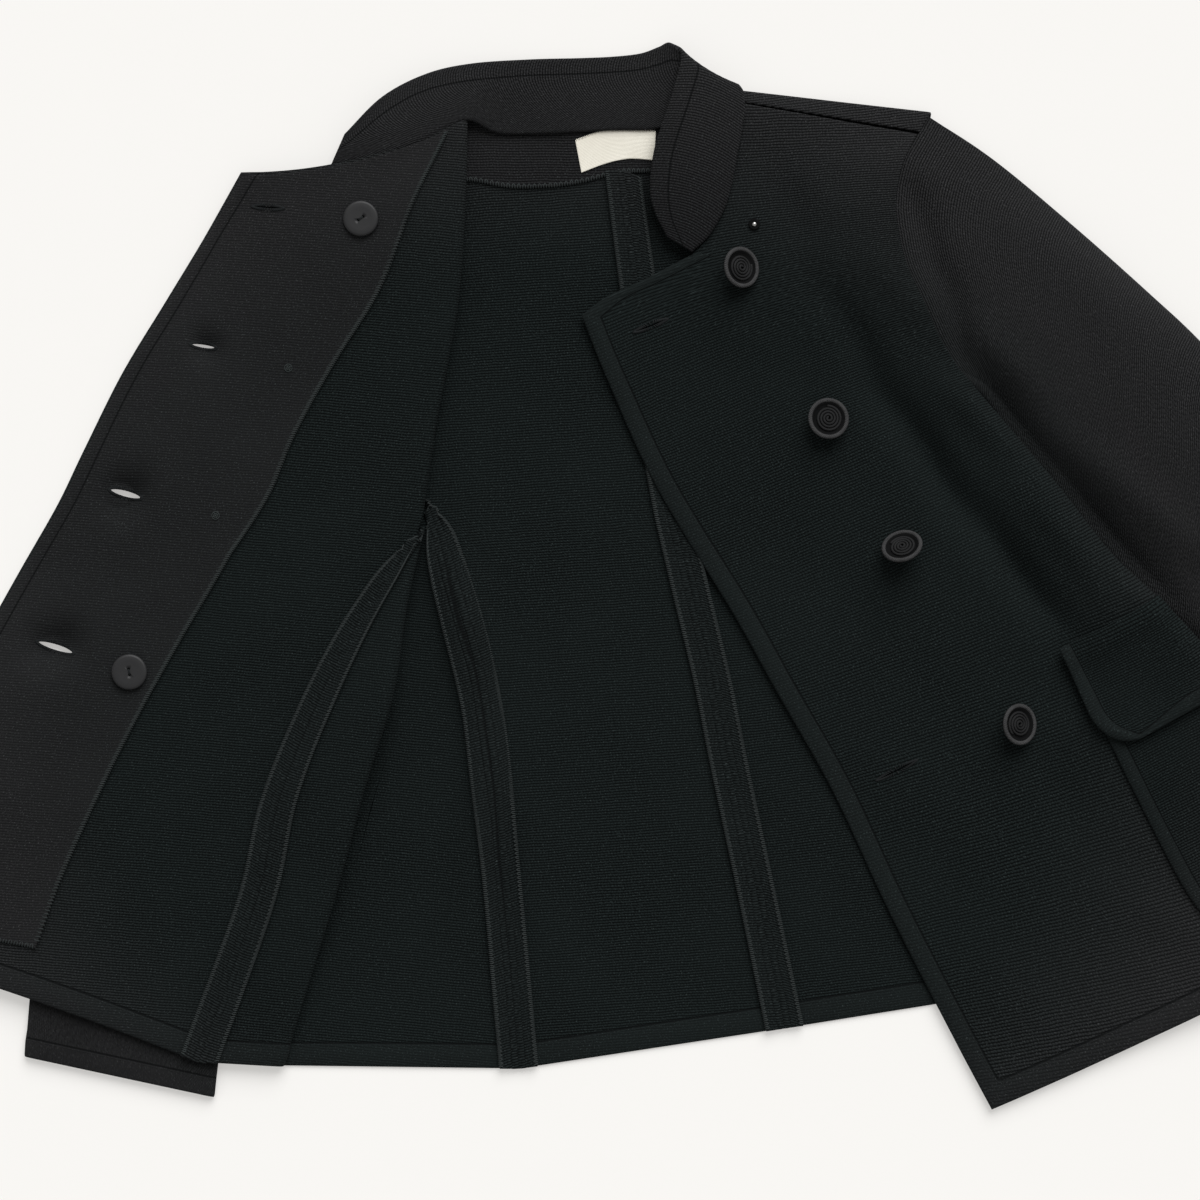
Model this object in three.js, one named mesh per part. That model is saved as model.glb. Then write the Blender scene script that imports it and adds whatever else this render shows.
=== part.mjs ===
// A double-breasted knit jacket laid open on its back, in millimetres, +Z up.
// The floor is z = 0. X runs to the viewer's right and Y towards the collar. Right and left in
// the names are the wearer's. The right front is opened out, so its inside is up.
import * as THREE from "three";

const CLOTH = 2;
const THIN_CLOTH = 1.6;
const STRIP_CLOTH = 1.4;
const COLLAR_CLOTH = 3.2;
const LABEL_CLOTH = 0.8;
const GAP = 0.3;
const FLOOR_LEVEL = CLOTH / 2;
const SEAM_STRIP_WIDTH = 25;
const SHANK_BUTTON = { radius: 13.5, height: 5.6, rim: 3.4, hollow: 2.4, shank: 5 };
// The same button where the cloth above presses it down over its shank.
const PRESSED_BUTTON = { ...SHANK_BUTTON, shank: 0 };
const FLAT_BUTTON = { radius: 11.5, height: 3, rim: 2, hollow: 0.8, shank: 0 };
const PRESS_STUD = { radius: 3.6, height: 2, rim: 1, hollow: 0.6, shank: 0 };
const SHANK_RADIUS = 3;
// The underside of the garment's middle goes here, so that its box stands on the origin.
const ORIGIN = { x: 47.4, y: 15.2 };

const PAINT = {
  knit: { color: "#191d1f", roughness: 0.95, metalness: 0 },
  band: { color: "#1c2022", roughness: 0.98, metalness: 0 },
  label: { color: "#e8e2d2", roughness: 0.8, metalness: 0 },
  button: { color: "#55575a", roughness: 0.6, metalness: 0.1 },
  horn: { color: "#3b3c3e", roughness: 0.45, metalness: 0 },
  stud: { color: "#a9a9a6", roughness: 0.3, metalness: 1 },
};

// A table names its columns once and has a row for each section of a piece.
const table = (columns, rows) => {
  const names = columns.split(" ");
  return rows.map((row) => Object.fromEntries(row.map((value, i) => [names[i], value])));
};

// Sections run from a near end to a far end. Height columns za to zd are the cloth's middle at
// the near end, a third, two thirds and the far end. turn is how far the far end bends down, in
// degrees, round the radius r, and under is how far it then runs on. The corner column says
// which end keeps its angle in the outline: 1 the near end, 2 the far end, 3 both and the heights.
const FRONT_RIGHT = table("x0 y0 x1 y1 bow za zb zc zd r turn under corner", [
  [-231, 275, -86, 308, -9, 7, 13, 14, 13.5, 4, 180, 14, 0],
  [-255, 233, -87, 263, -2, 4, 14, 15.3, 15, 4, 180, 14, 0],
  [-280, 192, -91, 199, 0, 3, 14.5, 15.3, 15, 4, 180, 14, 0],
  [-308, 146, -98, 155, 0, 2, 14.5, 15.3, 15, 4, 180, 14, 0],
  [-333, 96, -106, 113, 0, 1.6, 14.8, 15.3, 15, 4, 180, 12, 0],
  [-350, 61, -112, 72, 0, 1.3, 15, 15.3, 14.4, 4, 110, 4, 0],
  [-374, 19, -118, 39, 0, 1, 15, 15, 12, 4, 0, 0, 2],
  [-407, -40, -155, -16, 0, 1, 14.8, 14.5, 12.5, 4, 0, 0, 0],
  [-436, -92, -182, -68, 0, 1, 13, 13.5, 13, 4, 0, 0, 0],
  [-464, -142, -206, -129, 0, 1, 12.4, 13, 12, 4, 0, 0, 0],
  [-487, -181, -221, -194, 0, 1, 11.8, 12, 10.4, 4, 0, 0, 0],
  [-506, -213, -258, -297, 4, 1, 10.6, 10.6, 8.6, 4, 0, 0, 0],
]);
const FRONT_RIGHT_SEAM_ROW = 6;

const FRONT_LEFT = table("x0 y0 x1 y1 bow za zb zc zd r turn under corner", [
  [92.5, 318, 204, 299, 0, 10, 10, 9, 8.4, 5, 0, 0, 0],
  [86, 279, 194, 279, 0, 11, 12, 14, 14, 5, 0, 0, 0],
  [80, 253, 190, 256, 0, 11, 12, 15, 15, 5, 0, 0, 0],
  [70, 234, 192, 234, 0, 10, 12, 16, 15, 5, 0, 0, 0],
  [59, 222, 197, 214, 0, 9, 12, 16, 15, 5, 0, 0, 1],
  [28, 206, 207, 192, 2, 7.5, 11, 15, 15, 5, 0, 0, 0],
  [4, 195, 217, 170, 3, 6.5, 10, 14, 15, 5, 0, 0, 0],
  [-12, 183, 229, 150, 2, 6.5, 9, 12, 16, 5, 0, 0, 1],
  [4, 143, 237, 140, 0, 6, 8, 11, 17, 6, 40, 0, 0],
  [36, 73, 247, 128, 0, 5.6, 8, 12, 18, 8.5, 90, 0, 0],
  [85, -8, 291, 76, 0, 5.6, 8, 13, 21, 10, 90, 0, 0],
  [114, -60, 328, 29, 0, 5.4, 8, 14, 23, 11, 90, 0, 0],
  [150, -124, 362, -4, 0, 5.2, 8, 14, 25, 12, 90, 0, 0],
  [186, -201, 415, -66, 0, 5.2, 8, 14, 25, 12, 90, 0, 0],
  [228, -283, 465, -150, 0, 5.2, 8, 13, 24, 11.5, 90, 0, 0],
  [252, -328, 497, -209, -3, 5.2, 7, 12, 22, 10.5, 90, 0, 0],
]);
const FRONT_LEFT_ROLL_ROW = 9;
const FRONT_LEFT_ARMPIT_ROW = 8;

const BACK_RIGHT = table("x0 y0 x1 y1 corner", [
  [-128, 300, 12, 305, 0],
  [-135, 240, 20, 240, 0],
  [-128, 160, 30, 165, 0],
  [-113, 68, 44, 72, 1],
  [-97, 17, 56, 17, 0],
  [-79, -50, 72, -50, 0],
  [-70, -110, 84, -110, 0],
  [-62, -190, 101, -190, 0],
  [-52, -302, 119, -276, 0],
]);

// The first rows carry the shoulder, which wraps from the seam on top over to the floor.
const BACK_LEFT = table("x0 y0 x1 y1 z corner", [
  [93, 319.8, 205.6, 300.9, 8.4, 0],
  [91, 327, 213, 313, 4.6, 0],
  [88, 322, 212, 306, 1, 3],
  [60, 308, 203, 280, 1, 0],
  [36, 305, 199, 250, 1, 0],
  [12, 305, 200, 215, 1, 1],
  [20, 240, 208, 180, 1, 0],
  [30, 165, 222, 140, 1, 0],
  [44, 72, 250, 65, 1, 0],
  [56, 17, 282, 5, 1, 0],
  [72, -50, 318, -60, 1, 0],
  [84, -110, 345, -115, 1, 0],
  [101, -190, 375, -180, 1, 0],
  [119, -276, 395, -232, 1, 0],
]);
const BACK_LEFT_SHOULDER_ROW = 2;
const BACK_LEFT_NECK_ROW = 5;
const BACK_LEFT_SIDE_ROW = 7;

// The side panel rises from the front seam to a soft crest, tucks in under it and then lies flat.
const SIDE_RIGHT = table("x0 y0 z0 xc yc zc tuck x1 y1", [
  [-115.5, 38.4, 11, -113.6, 47, 7, 0, -113, 68],
  [-155, -16, 12.5, -125, -4, 14, 2, -97, 17],
  [-182, -68, 13, -134, -60, 15, 5, -79, -50],
  [-206, -129, 12, -153, -123, 14, 5, -70, -110],
  [-221, -194, 10.4, -172, -193, 11, 3, -62, -190],
  [-258, -297, 8.6, -205, -300, 8, 0, -52, -302],
]);

const COLLAR = table("x0 y0 z0 x1 y1 z1", [
  [-172, 280.5, 12.4, -164, 299, 12],
  [-140, 288, 13.6, -140, 323, 11],
  [-118, 295.2, 14, -112, 338, 9],
  [-87, 309, 12, -83, 345, 6.5],
  [-65, 301.8, 6.2, -45, 348, 4.5],
  [-37, 301.6, 6, -14, 349, 3],
  [-15, 302.6, 6, 8, 350, 2.6],
  [11, 304, 6.2, 26, 352, 3],
  [37, 305, 6.4, 38, 356, 5],
  [58, 313, 7.4, 45, 358, 9.5],
  [84, 330, 11.5, 52, 349, 14.5],
  [91.4, 319.5, 14.3, 46, 324, 15.5],
  [85.3, 279.5, 14.5, 35, 290, 15],
  [79.3, 254, 14.3, 32, 265, 14],
  [69.4, 235, 13.4, 35, 249, 13],
  [58.4, 223.5, 12.2, 43, 233, 12],
]);

const NECK_FACING = table("x0 y0 x1 y1", [
  [-100, 299, -98, 270],
  [-81, 301, -82, 270],
  [-59, 302, -59, 266],
  [-35, 302, -35, 266],
  [-12, 303, -12, 269],
  [12, 303, 12, 275],
  [36, 303, 34, 276],
  [62, 306, 58, 280],
]);

const LABEL = table("x0 y0 x1 y1", [
  [-16, 296, -12, 275],
  [0, 301.5, 4, 281],
  [11, 302, 19, 284],
  [36, 302, 35, 283],
]);

const SLEEVE_LEFT = table("x0 y0 x1 y1 top", [
  [214.6, 312, 230, 150, 16],
  [255, 283, 242, 139, 20],
  [304, 241, 254, 126, 22],
  [353, 197, 273, 99.5, 22],
  [387, 165, 293, 74.8, 22],
  [445, 103, 349.4, 9.4, 20],
  [503, 35, 408.4, -57, 18],
  [555, -35, 451, -125, 17],
  [600, -110, 487.3, -189.5, 17],
]);

const SLEEVE_RIGHT = table("x0 y0 x1 y1 top", [
  [-112, 298, -128, 62, 5.4],
  [-165, 268, -136, 46, 5.4],
  [-212, 215, -145, 24, 5.4],
  [-244, 163, -157, 2, 5.4],
  [-290, 68, -174, -30, 5.4],
  [-327, -40, -204, -85, 5.4],
  [-350, -128, -223, -150, 5.4],
  [-362, -205, -236, -215, 5.4],
  [-370, -294, -249, -320, 5.4],
]);
const SLEEVE_CAP_ROWS = 3;
const SLEEVE_EDGE = 3.2;

// Where a patch or a button lies on a front: rows down it, and millimetres from its front edge.
const FACING_RIGHT = { top: 0.06, bottom: 10.55, start: 3, width: 135 };
const FLAP_LEFT = { top: 11.87, bottom: 12.82, start: 170, end: 9, corner: 26 };
const POCKET_LEFT = { top: 12.4, bottom: 14.5, start: 175, end: 9, corner: 24 };
const FLAP_RIGHT = { top: 7.6, bottom: 8.9, start: 168, end: 14, corner: 24 };
const POCKET_RIGHT = { top: 8.4, bottom: 10.5, start: 172, end: 14, corner: 22 };

const SHANK_BUTTONS_LEFT = table("x y tiltX tiltY", [
  [86, 212, 6, 32],
  [145, 115, 8, 8],
  [195, 29, 42, -14],
  [264, -80, 4, 32],
]);
const SHANK_BUTTONS_RIGHT = table("row across", [
  [0.72, 92],
  [2.95, 108],
  [5.15, 104],
  [7.1, 106],
]);
const FLAT_BUTTONS = table("x y", [
  [-153, 244],
  [-301, -46],
]);
const STUD_PLACE = { x: 99, y: 241 };

// Rows are joined by smooth curves. At a corner, the curves leave and arrive straight instead.
const NEAR_CORNER = [1, 3];
const FAR_CORNER = [2, 3];
const cornerAt = (row, name) => {
  if (name.endsWith("0")) return NEAR_CORNER.includes(row.corner);
  if (name.endsWith("1")) return FAR_CORNER.includes(row.corner);
  return row.corner === 3;
};
function between(rows, place) {
  const i = Math.max(0, Math.min(Math.floor(place), rows.length - 2));
  const t = place - i;
  const [a, b] = [rows[i], rows[i + 1]];
  const row = {};
  for (const name of Object.keys(a)) {
    const before = i === 0 || cornerAt(a, name) ? null : rows[i - 1];
    const after = i + 2 === rows.length || cornerAt(b, name) ? null : rows[i + 2];
    const step = b[name] - a[name];
    const leave = before ? (b[name] - before[name]) / 2 : step;
    const arrive = after ? (after[name] - a[name]) / 2 : step;
    const bend = (leave * (1 - t) - arrive * t - step * (1 - 2 * t)) * t * (1 - t);
    row[name] = a[name] + step * t + bend;
  }
  return row;
}

const curve4 = (values, t) => {
  const knots = values.map((value) => ({ value }));
  return between(knots, t * (values.length - 1)).value;
};

// A turned section: level from its near end, then round and back under itself.
function turnedSection(row, mostTurn) {
  const run = Math.hypot(row.x1 - row.x0, row.y1 - row.y0);
  const along = [(row.x1 - row.x0) / run, (row.y1 - row.y0) / run];
  const turn = THREE.MathUtils.degToRad(Math.min(Math.max(0, row.turn), mostTurn));
  const level = run - row.r * Math.sin(Math.min(turn, Math.PI / 2));
  const arc = row.r * turn;
  const length = level + arc + Math.max(0, row.under);
  const at = (s) => {
    const onLevel = Math.min(s, level);
    const angle = Math.min(Math.max(s - level, 0) / row.r, turn);
    const after = Math.max(0, s - level - arc);
    const d = onLevel + row.r * Math.sin(angle) + after * Math.cos(turn);
    const drop = row.r * (1 - Math.cos(angle)) + after * Math.sin(turn);
    const part = onLevel / level;
    const z = curve4([row.za, row.zb, row.zc, row.zd], part) - drop;
    const bow = row.bow * 4 * part * (1 - part);
    return new THREE.Vector3(
      row.x0 + along[0] * d - along[1] * bow,
      row.y0 + along[1] * d + along[0] * bow,
      z,
    );
  };
  return { length, at, level };
}

// The knee is where a section's turn begins, or near its far end where it has none.
const LATEST_KNEE = 0.88;
const turnedPanel = (rows, mostTurn) => ({
  knee: (v) => {
    const { length, level } = turnedSection(between(rows, v), mostTurn);
    return Math.min(level, length * LATEST_KNEE);
  },
  width: (v) => turnedSection(between(rows, v), mostTurn).length,
  at: (s, v) => turnedSection(between(rows, v), mostTurn).at(s),
});

const flatPanel = (rows) => ({
  width: (v) => {
    const row = between(rows, v);
    return Math.hypot(row.x1 - row.x0, row.y1 - row.y0);
  },
  at: (s, v) => {
    const row = between(rows, v);
    const part = s / Math.hypot(row.x1 - row.x0, row.y1 - row.y0);
    const x = row.x0 + (row.x1 - row.x0) * part;
    const y = row.y0 + (row.y1 - row.y0) * part;
    return new THREE.Vector3(x, y, row.z ?? FLOOR_LEVEL);
  },
});

const frontRight = turnedPanel(FRONT_RIGHT, 180);
const frontLeft = turnedPanel(FRONT_LEFT, 90);
const backRight = flatPanel(BACK_RIGHT);
const backLeft = flatPanel(BACK_LEFT);

// The side panel under the left front: from the roll's outermost line down to the floor, then
// level to the back panel's edge.
const sideLeft = {
  section(v) {
    const row = between(FRONT_LEFT, FRONT_LEFT_ROLL_ROW + v);
    const back = between(BACK_LEFT, BACK_LEFT_SIDE_ROW + v);
    const run = Math.hypot(back.x1 - row.x1, back.y1 - row.y1);
    const radius = row.zd - row.r - FLOOR_LEVEL;
    const arc = (radius * Math.PI) / 2;
    return { row, back, run, radius, arc, length: arc + run - radius };
  },
  width(v) {
    return this.section(v).length;
  },
  at(s, v) {
    const { row, back, run, radius, arc } = this.section(v);
    const angle = Math.min(s, arc) / radius;
    const d = radius * (1 - Math.cos(angle)) + Math.max(0, s - arc);
    const x = row.x1 + ((back.x1 - row.x1) * d) / run;
    const y = row.y1 + ((back.y1 - row.y1) * d) / run;
    return new THREE.Vector3(x, y, FLOOR_LEVEL + radius * (1 - Math.sin(angle)));
  },
};

// The opened side panel with its crest. Each section passes through these knots: a share of the
// way to the crest and millimetres beyond it, and how far the cloth has risen from the front
// seam, before the crest, or from the floor, after it. tucked knots move back under the crest.
const CREST_KNOTS = table("toCrest beyond rise after tucked", [
  [0, 0, 0, 0, 0],
  [0.55, 0, 0.6, 0, 0],
  [1, -4, 1, 0, 0],
  [1, 0.4, 0.74, 1, 0],
  [1, -1, 0.38, 1, 1],
  [1, 0.5, 0.1, 1, 1],
  [1, 8, 0, 1, 0],
  [1, 16, 0, 1, 0],
]);
// Where the panel is narrower than the room past the crest, the knots there draw in.
const CREST_ROOM = 40;
const MOST_TUCK = 0.4;
const sideRight = {
  at(u, v) {
    const row = between(SIDE_RIGHT, v);
    const toCrest = Math.hypot(row.xc - row.x0, row.yc - row.y0);
    const rest = Math.hypot(row.x1 - row.xc, row.y1 - row.yc);
    const room = Math.min(1, rest / CREST_ROOM);
    const knots = CREST_KNOTS.map((knot) => {
      const beyond = Math.max(knot.beyond * room - row.tuck * knot.tucked, -toCrest * MOST_TUCK);
      const base = knot.after ? FLOOR_LEVEL : row.z0;
      return { d: toCrest * knot.toCrest + beyond, z: base + (row.zc - base) * knot.rise };
    });
    knots.push({ d: toCrest + rest, z: FLOOR_LEVEL });
    const { d, z } = between(knots, u * (knots.length - 1));
    const part = Math.min(d / toCrest, 1);
    const over = Math.max(0, d - toCrest) / rest;
    const x = row.x0 + (row.xc - row.x0) * part + (row.x1 - row.xc) * over;
    const y = row.y0 + (row.yc - row.y0) * part + (row.y1 - row.yc) * over;
    return new THREE.Vector3(x, y, Math.max(z, FLOOR_LEVEL));
  },
  frontShare(s, v) {
    const row = between(SIDE_RIGHT, v);
    const first = CREST_KNOTS[1].toCrest * Math.hypot(row.xc - row.x0, row.yc - row.y0);
    return s / first / CREST_KNOTS.length;
  },
  backShare(s, v) {
    const row = between(SIDE_RIGHT, v);
    const rest = Math.hypot(row.x1 - row.xc, row.y1 - row.yc);
    const last = rest - CREST_KNOTS.at(-1).beyond * Math.min(1, rest / CREST_ROOM);
    return 1 - s / last / CREST_KNOTS.length;
  },
  between(front, back, rows) {
    return (u, v) => {
      const start = this.frontShare(front, v * rows);
      return this.at(start + (this.backShare(back, v * rows) - start) * u, v * rows);
    };
  },
};

// A closed wall over the surface at(u, v), with u and v from 0 to 1. It is thick millimetres
// through, and its middle is lifted off the surface by lift. The surface's slope across it is
// taken over reach on either side, which smooths the joint under a strip.
function wall(at, columns, rows, thick, lift = 0, reach = 1e-4) {
  const across = columns + 1;
  const down = rows + 1;
  const step = 1e-4;
  const positions = [];
  for (const side of [0.5, -0.5]) {
    for (let j = 0; j < down; j += 1) {
      for (let i = 0; i < across; i += 1) {
        const u = i / columns;
        const v = j / rows;
        const middle = at(u, v);
        const alongU = at(Math.min(u + reach, 1), v).sub(at(Math.max(u - reach, 0), v));
        const alongV = at(u, Math.min(v + step, 1)).sub(at(u, Math.max(v - step, 0)));
        const outward = alongV.cross(alongU).normalize();
        middle.addScaledVector(outward, lift + side * thick);
        positions.push(middle.x - ORIGIN.x, middle.y - ORIGIN.y, middle.z);
      }
    }
  }
  const index = [];
  const quad = (a, b, c, d) => index.push(a, b, c, a, c, d);
  const top = (i, j) => j * across + i;
  const base = (i, j) => top(i, j) + across * down;
  for (let j = 0; j < rows; j += 1) {
    for (let i = 0; i < columns; i += 1) {
      quad(top(i, j), top(i, j + 1), top(i + 1, j + 1), top(i + 1, j));
      quad(base(i, j), base(i + 1, j), base(i + 1, j + 1), base(i, j + 1));
    }
  }
  for (let i = 0; i < columns; i += 1) {
    quad(top(i, 0), top(i + 1, 0), base(i + 1, 0), base(i, 0));
    quad(top(i + 1, rows), top(i, rows), base(i, rows), base(i + 1, rows));
  }
  for (let j = 0; j < rows; j += 1) {
    quad(top(0, j + 1), top(0, j), base(0, j), base(0, j + 1));
    quad(top(columns, j), top(columns, j + 1), base(columns, j + 1), base(columns, j));
  }
  const geometry = new THREE.BufferGeometry();
  geometry.setAttribute("position", new THREE.Float32BufferAttribute(positions, 3));
  geometry.setIndex(index);
  geometry.computeVertexNormals();
  return geometry;
}

// The place across a panel at u, where the columns past the share lie on its turn.
const TURN_SHARE = 0.68;
const acrossTurn = (panel, row, start, end, u) => {
  const knee = panel.knee ? Math.min(panel.knee(row), end - 1) : start + (end - start) * TURN_SHARE;
  if (u < TURN_SHARE) return start + ((knee - start) * u) / TURN_SHARE;
  return knee + ((end - knee) * (u - TURN_SHARE)) / (1 - TURN_SHARE);
};

// A stretch of a panel between two rows, half a gap in from its ends.
const stretch = (panel, first, last) => (u, v) => {
  const row = first + (last - first) * v;
  return panel.at(acrossTurn(panel, row, GAP / 2, panel.width(row) - GAP / 2, u), row);
};

// A patch laid on a panel, with its lower near corner rounded from this share of its height down.
const ROUNDED_FROM = 0.62;
const patch = (panel, place) => (u, v) => {
  const row = place.top + (place.bottom - place.top) * v;
  const low = Math.max(0, (v - ROUNDED_FROM) / (1 - ROUNDED_FROM));
  const start = place.start + (1 - Math.sqrt(Math.max(0, 1 - low ** 2))) * place.corner;
  return panel.at(acrossTurn(panel, row, start, panel.width(row) - place.end, u), row);
};

// A strip of pressed-open seam allowance over the joint of two panels.
const strip = (nearSide, farSide, length) => (u, v) => {
  const offset = (u - 0.5) * SEAM_STRIP_WIDTH;
  return offset < 0 ? nearSide(-offset, v * length) : farSide(offset, v * length);
};

// Half of a sleeve: its edges curve to meet the other half, and its first rows reach the armhole.
const sleeveHalf = (rows, armhole, height, fullness) => (u, v) => {
  const place = v * (rows.length - 1);
  const side = -Math.cos(Math.PI * u);
  const on = (row) => {
    const part = (1 + side) / 2;
    const round = Math.sqrt(Math.max(0, 1 - Math.abs(side) ** fullness));
    const edge = SLEEVE_EDGE + Math.sign(height(row) - SLEEVE_EDGE) * GAP;
    return new THREE.Vector3(
      row.x0 + (row.x1 - row.x0) * part,
      row.y0 + (row.y1 - row.y0) * part,
      edge + (height(row) - edge) * round,
    );
  };
  const point = on(between(rows, place));
  const share = Math.max(0, 1 - place / SLEEVE_CAP_ROWS) ** 2;
  const shift = armhole((1 + side) / 2).sub(on(rows[0]));
  return point.addScaledVector(shift, share);
};

// A button stands on its shank's foot, or on its base where it has none. Its outline is a share
// of its radius less a share of its rim, against a share of its height less one of its hollow.
const DISC_OUTLINE = table("radius rim height hollow", [
  [0.72, 0, 0, 0],
  [1, 0, 0.4, 0],
  [0.97, 0, 0.75, 0],
  [1, 0.5, 1, 0],
  [1, 1, 0.86, 0],
  [1, 1.25, 1, 1],
  [0, 0, 1, 1],
]);
const DISC_SIDES = 12;
function disc({ radius, height, rim, hollow, shank }) {
  const foot = shank ? [[0, 0], [SHANK_RADIUS, 0], [SHANK_RADIUS, shank]] : [[0, 0]];
  const body = DISC_OUTLINE.map((knot) => [
    radius * knot.radius - rim * knot.rim,
    shank + height * knot.height - hollow * knot.hollow,
  ]);
  const outline = [...foot, ...body].map(([x, y]) => new THREE.Vector2(x, y));
  return new THREE.LatheGeometry(outline, DISC_SIDES).rotateX(Math.PI / 2);
}

const jacket = new THREE.Group();

function add(name, geometry, paint) {
  const mesh = new THREE.Mesh(geometry, new THREE.MeshStandardMaterial(PAINT[paint]));
  mesh.name = name;
  jacket.add(mesh);
  return mesh;
}

// Each piece's quads across and down, enough for its curves.
const GRIDS = {
  back_right: [4, 16],
  back_left: [5, 26],
  side_right: [16, 10],
  side_left: [9, 12],
  front_right: [20, 22],
  front_left: [16, 30],
  facing_right: [8, 22],
  collar: [5, 30],
  neck_facing: [14, 2],
  label: [6, 2],
  seam_strip_back: [4, 16],
  seam_strip_side_back: [4, 12],
  seam_strip_side_front: [4, 14],
  sleeve_left_upper: [14, 18],
  sleeve_left_under: [8, 16],
  sleeve_right_upper: [10, 16],
  sleeve_right_under: [8, 16],
  pocket_left: [10, 8],
  flap_left: [10, 8],
  pocket_right: [10, 8],
  flap_right: [10, 8],
};
const addCloth = (name, at, paint, thick, lift, reach) => {
  add(name, wall(at, ...GRIDS[name], thick, lift, reach), paint);
};
const lastRow = (rows) => rows.length - 1;

function addBodyPanels() {
  addCloth("back_right", stretch(backRight, 0, lastRow(BACK_RIGHT)), "knit", CLOTH);
  addCloth("back_left", stretch(backLeft, 0, lastRow(BACK_LEFT)), "knit", CLOTH);
  const opened = sideRight.between(5 * GAP, GAP / 2, lastRow(SIDE_RIGHT));
  addCloth("side_right", opened, "knit", CLOTH);
  const folded = stretch(sideLeft, 0, lastRow(FRONT_LEFT) - FRONT_LEFT_ROLL_ROW);
  addCloth("side_left", folded, "knit", CLOTH);
  addCloth("front_right", stretch(frontRight, 0, lastRow(FRONT_RIGHT)), "knit", CLOTH);
  addCloth("front_left", stretch(frontLeft, 0, lastRow(FRONT_LEFT)), "knit", CLOTH);
}

function addFacingsAndCollar() {
  const facing = (u, v) => {
    const { top, bottom, start, width } = FACING_RIGHT;
    return frontRight.at(start + width * u, top + (bottom - top) * v);
  };
  addCloth("facing_right", facing, "band", THIN_CLOTH, CLOTH / 2 + GAP + THIN_CLOTH / 2);
  const ends = (rows, level) => (u, v) => {
    const row = between(rows, v * lastRow(rows));
    const near = new THREE.Vector3(row.x0, row.y0, row.z0 ?? level);
    return near.lerp(new THREE.Vector3(row.x1, row.y1, row.z1 ?? level), u);
  };
  const collar = ends(COLLAR);
  addCloth("collar", (u, v) => collar(u, 1 - v), "knit", COLLAR_CLOTH);
  const facingLevel = CLOTH + GAP + THIN_CLOTH / 2;
  const neck = ends(NECK_FACING, facingLevel);
  addCloth("neck_facing", (u, v) => neck(v, u), "band", THIN_CLOTH);
  const label = ends(LABEL, facingLevel + THIN_CLOTH / 2 + GAP + LABEL_CLOTH / 2);
  addCloth("label", (u, v) => label(v, u), "label", LABEL_CLOTH);
}

// The rows of the seams that the strips cover.
const STRIP_BACK = { start: 0.62, length: 7.38 };
const STRIP_SIDE_BACK = { start: 0.5, length: 4.5 };
const STRIP_SIDE_FRONT = { start: 0.7, length: 4.3 };
const BACK_RIGHT_SIDE_ROW = 3;

function addSeamStrips() {
  const lift = CLOTH / 2 + GAP + STRIP_CLOTH / 2;
  const overJoint = 0.1;
  const seam = (name, { start, length }, near, far) => {
    const onSeam = (side) => (s, v) => side(s, v + start);
    addCloth(name, strip(onSeam(near), onSeam(far), length), "band", STRIP_CLOTH, lift, overJoint);
  };
  const farOf = (panel, first) => (s, v) => panel.at(panel.width(first + v) - s, first + v);
  const nearOf = (panel, first) => (s, v) => panel.at(s, first + v);
  const sideBack = (s, v) => sideRight.at(sideRight.backShare(s, v), v);
  const sideFront = (s, v) => sideRight.at(sideRight.frontShare(s, v), v);
  const backLeftSeam = nearOf(backLeft, BACK_LEFT_NECK_ROW);
  seam("seam_strip_back", STRIP_BACK, farOf(backRight, 0), backLeftSeam);
  const backRightSide = nearOf(backRight, BACK_RIGHT_SIDE_ROW);
  seam("seam_strip_side_back", STRIP_SIDE_BACK, sideBack, backRightSide);
  const frontSide = farOf(frontRight, FRONT_RIGHT_SEAM_ROW);
  seam("seam_strip_side_front", STRIP_SIDE_FRONT, frontSide, sideFront);
}

// How squarely a sleeve's section stands up at its edges.
const ROUND_SLEEVE = 2.4;
const FLAT_SLEEVE = 30;
const SLEEVE_UNDERSIDE = 40;
const FRONT_RIGHT_TURNED_ROWS = 5;
// The left sleeve's cap runs over the shoulder's tip by this much, along this share of the armhole.
const CAP_OVER_SHOULDER = [10.5, 13, -3];
const CAP_REACH = 0.1;

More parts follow.
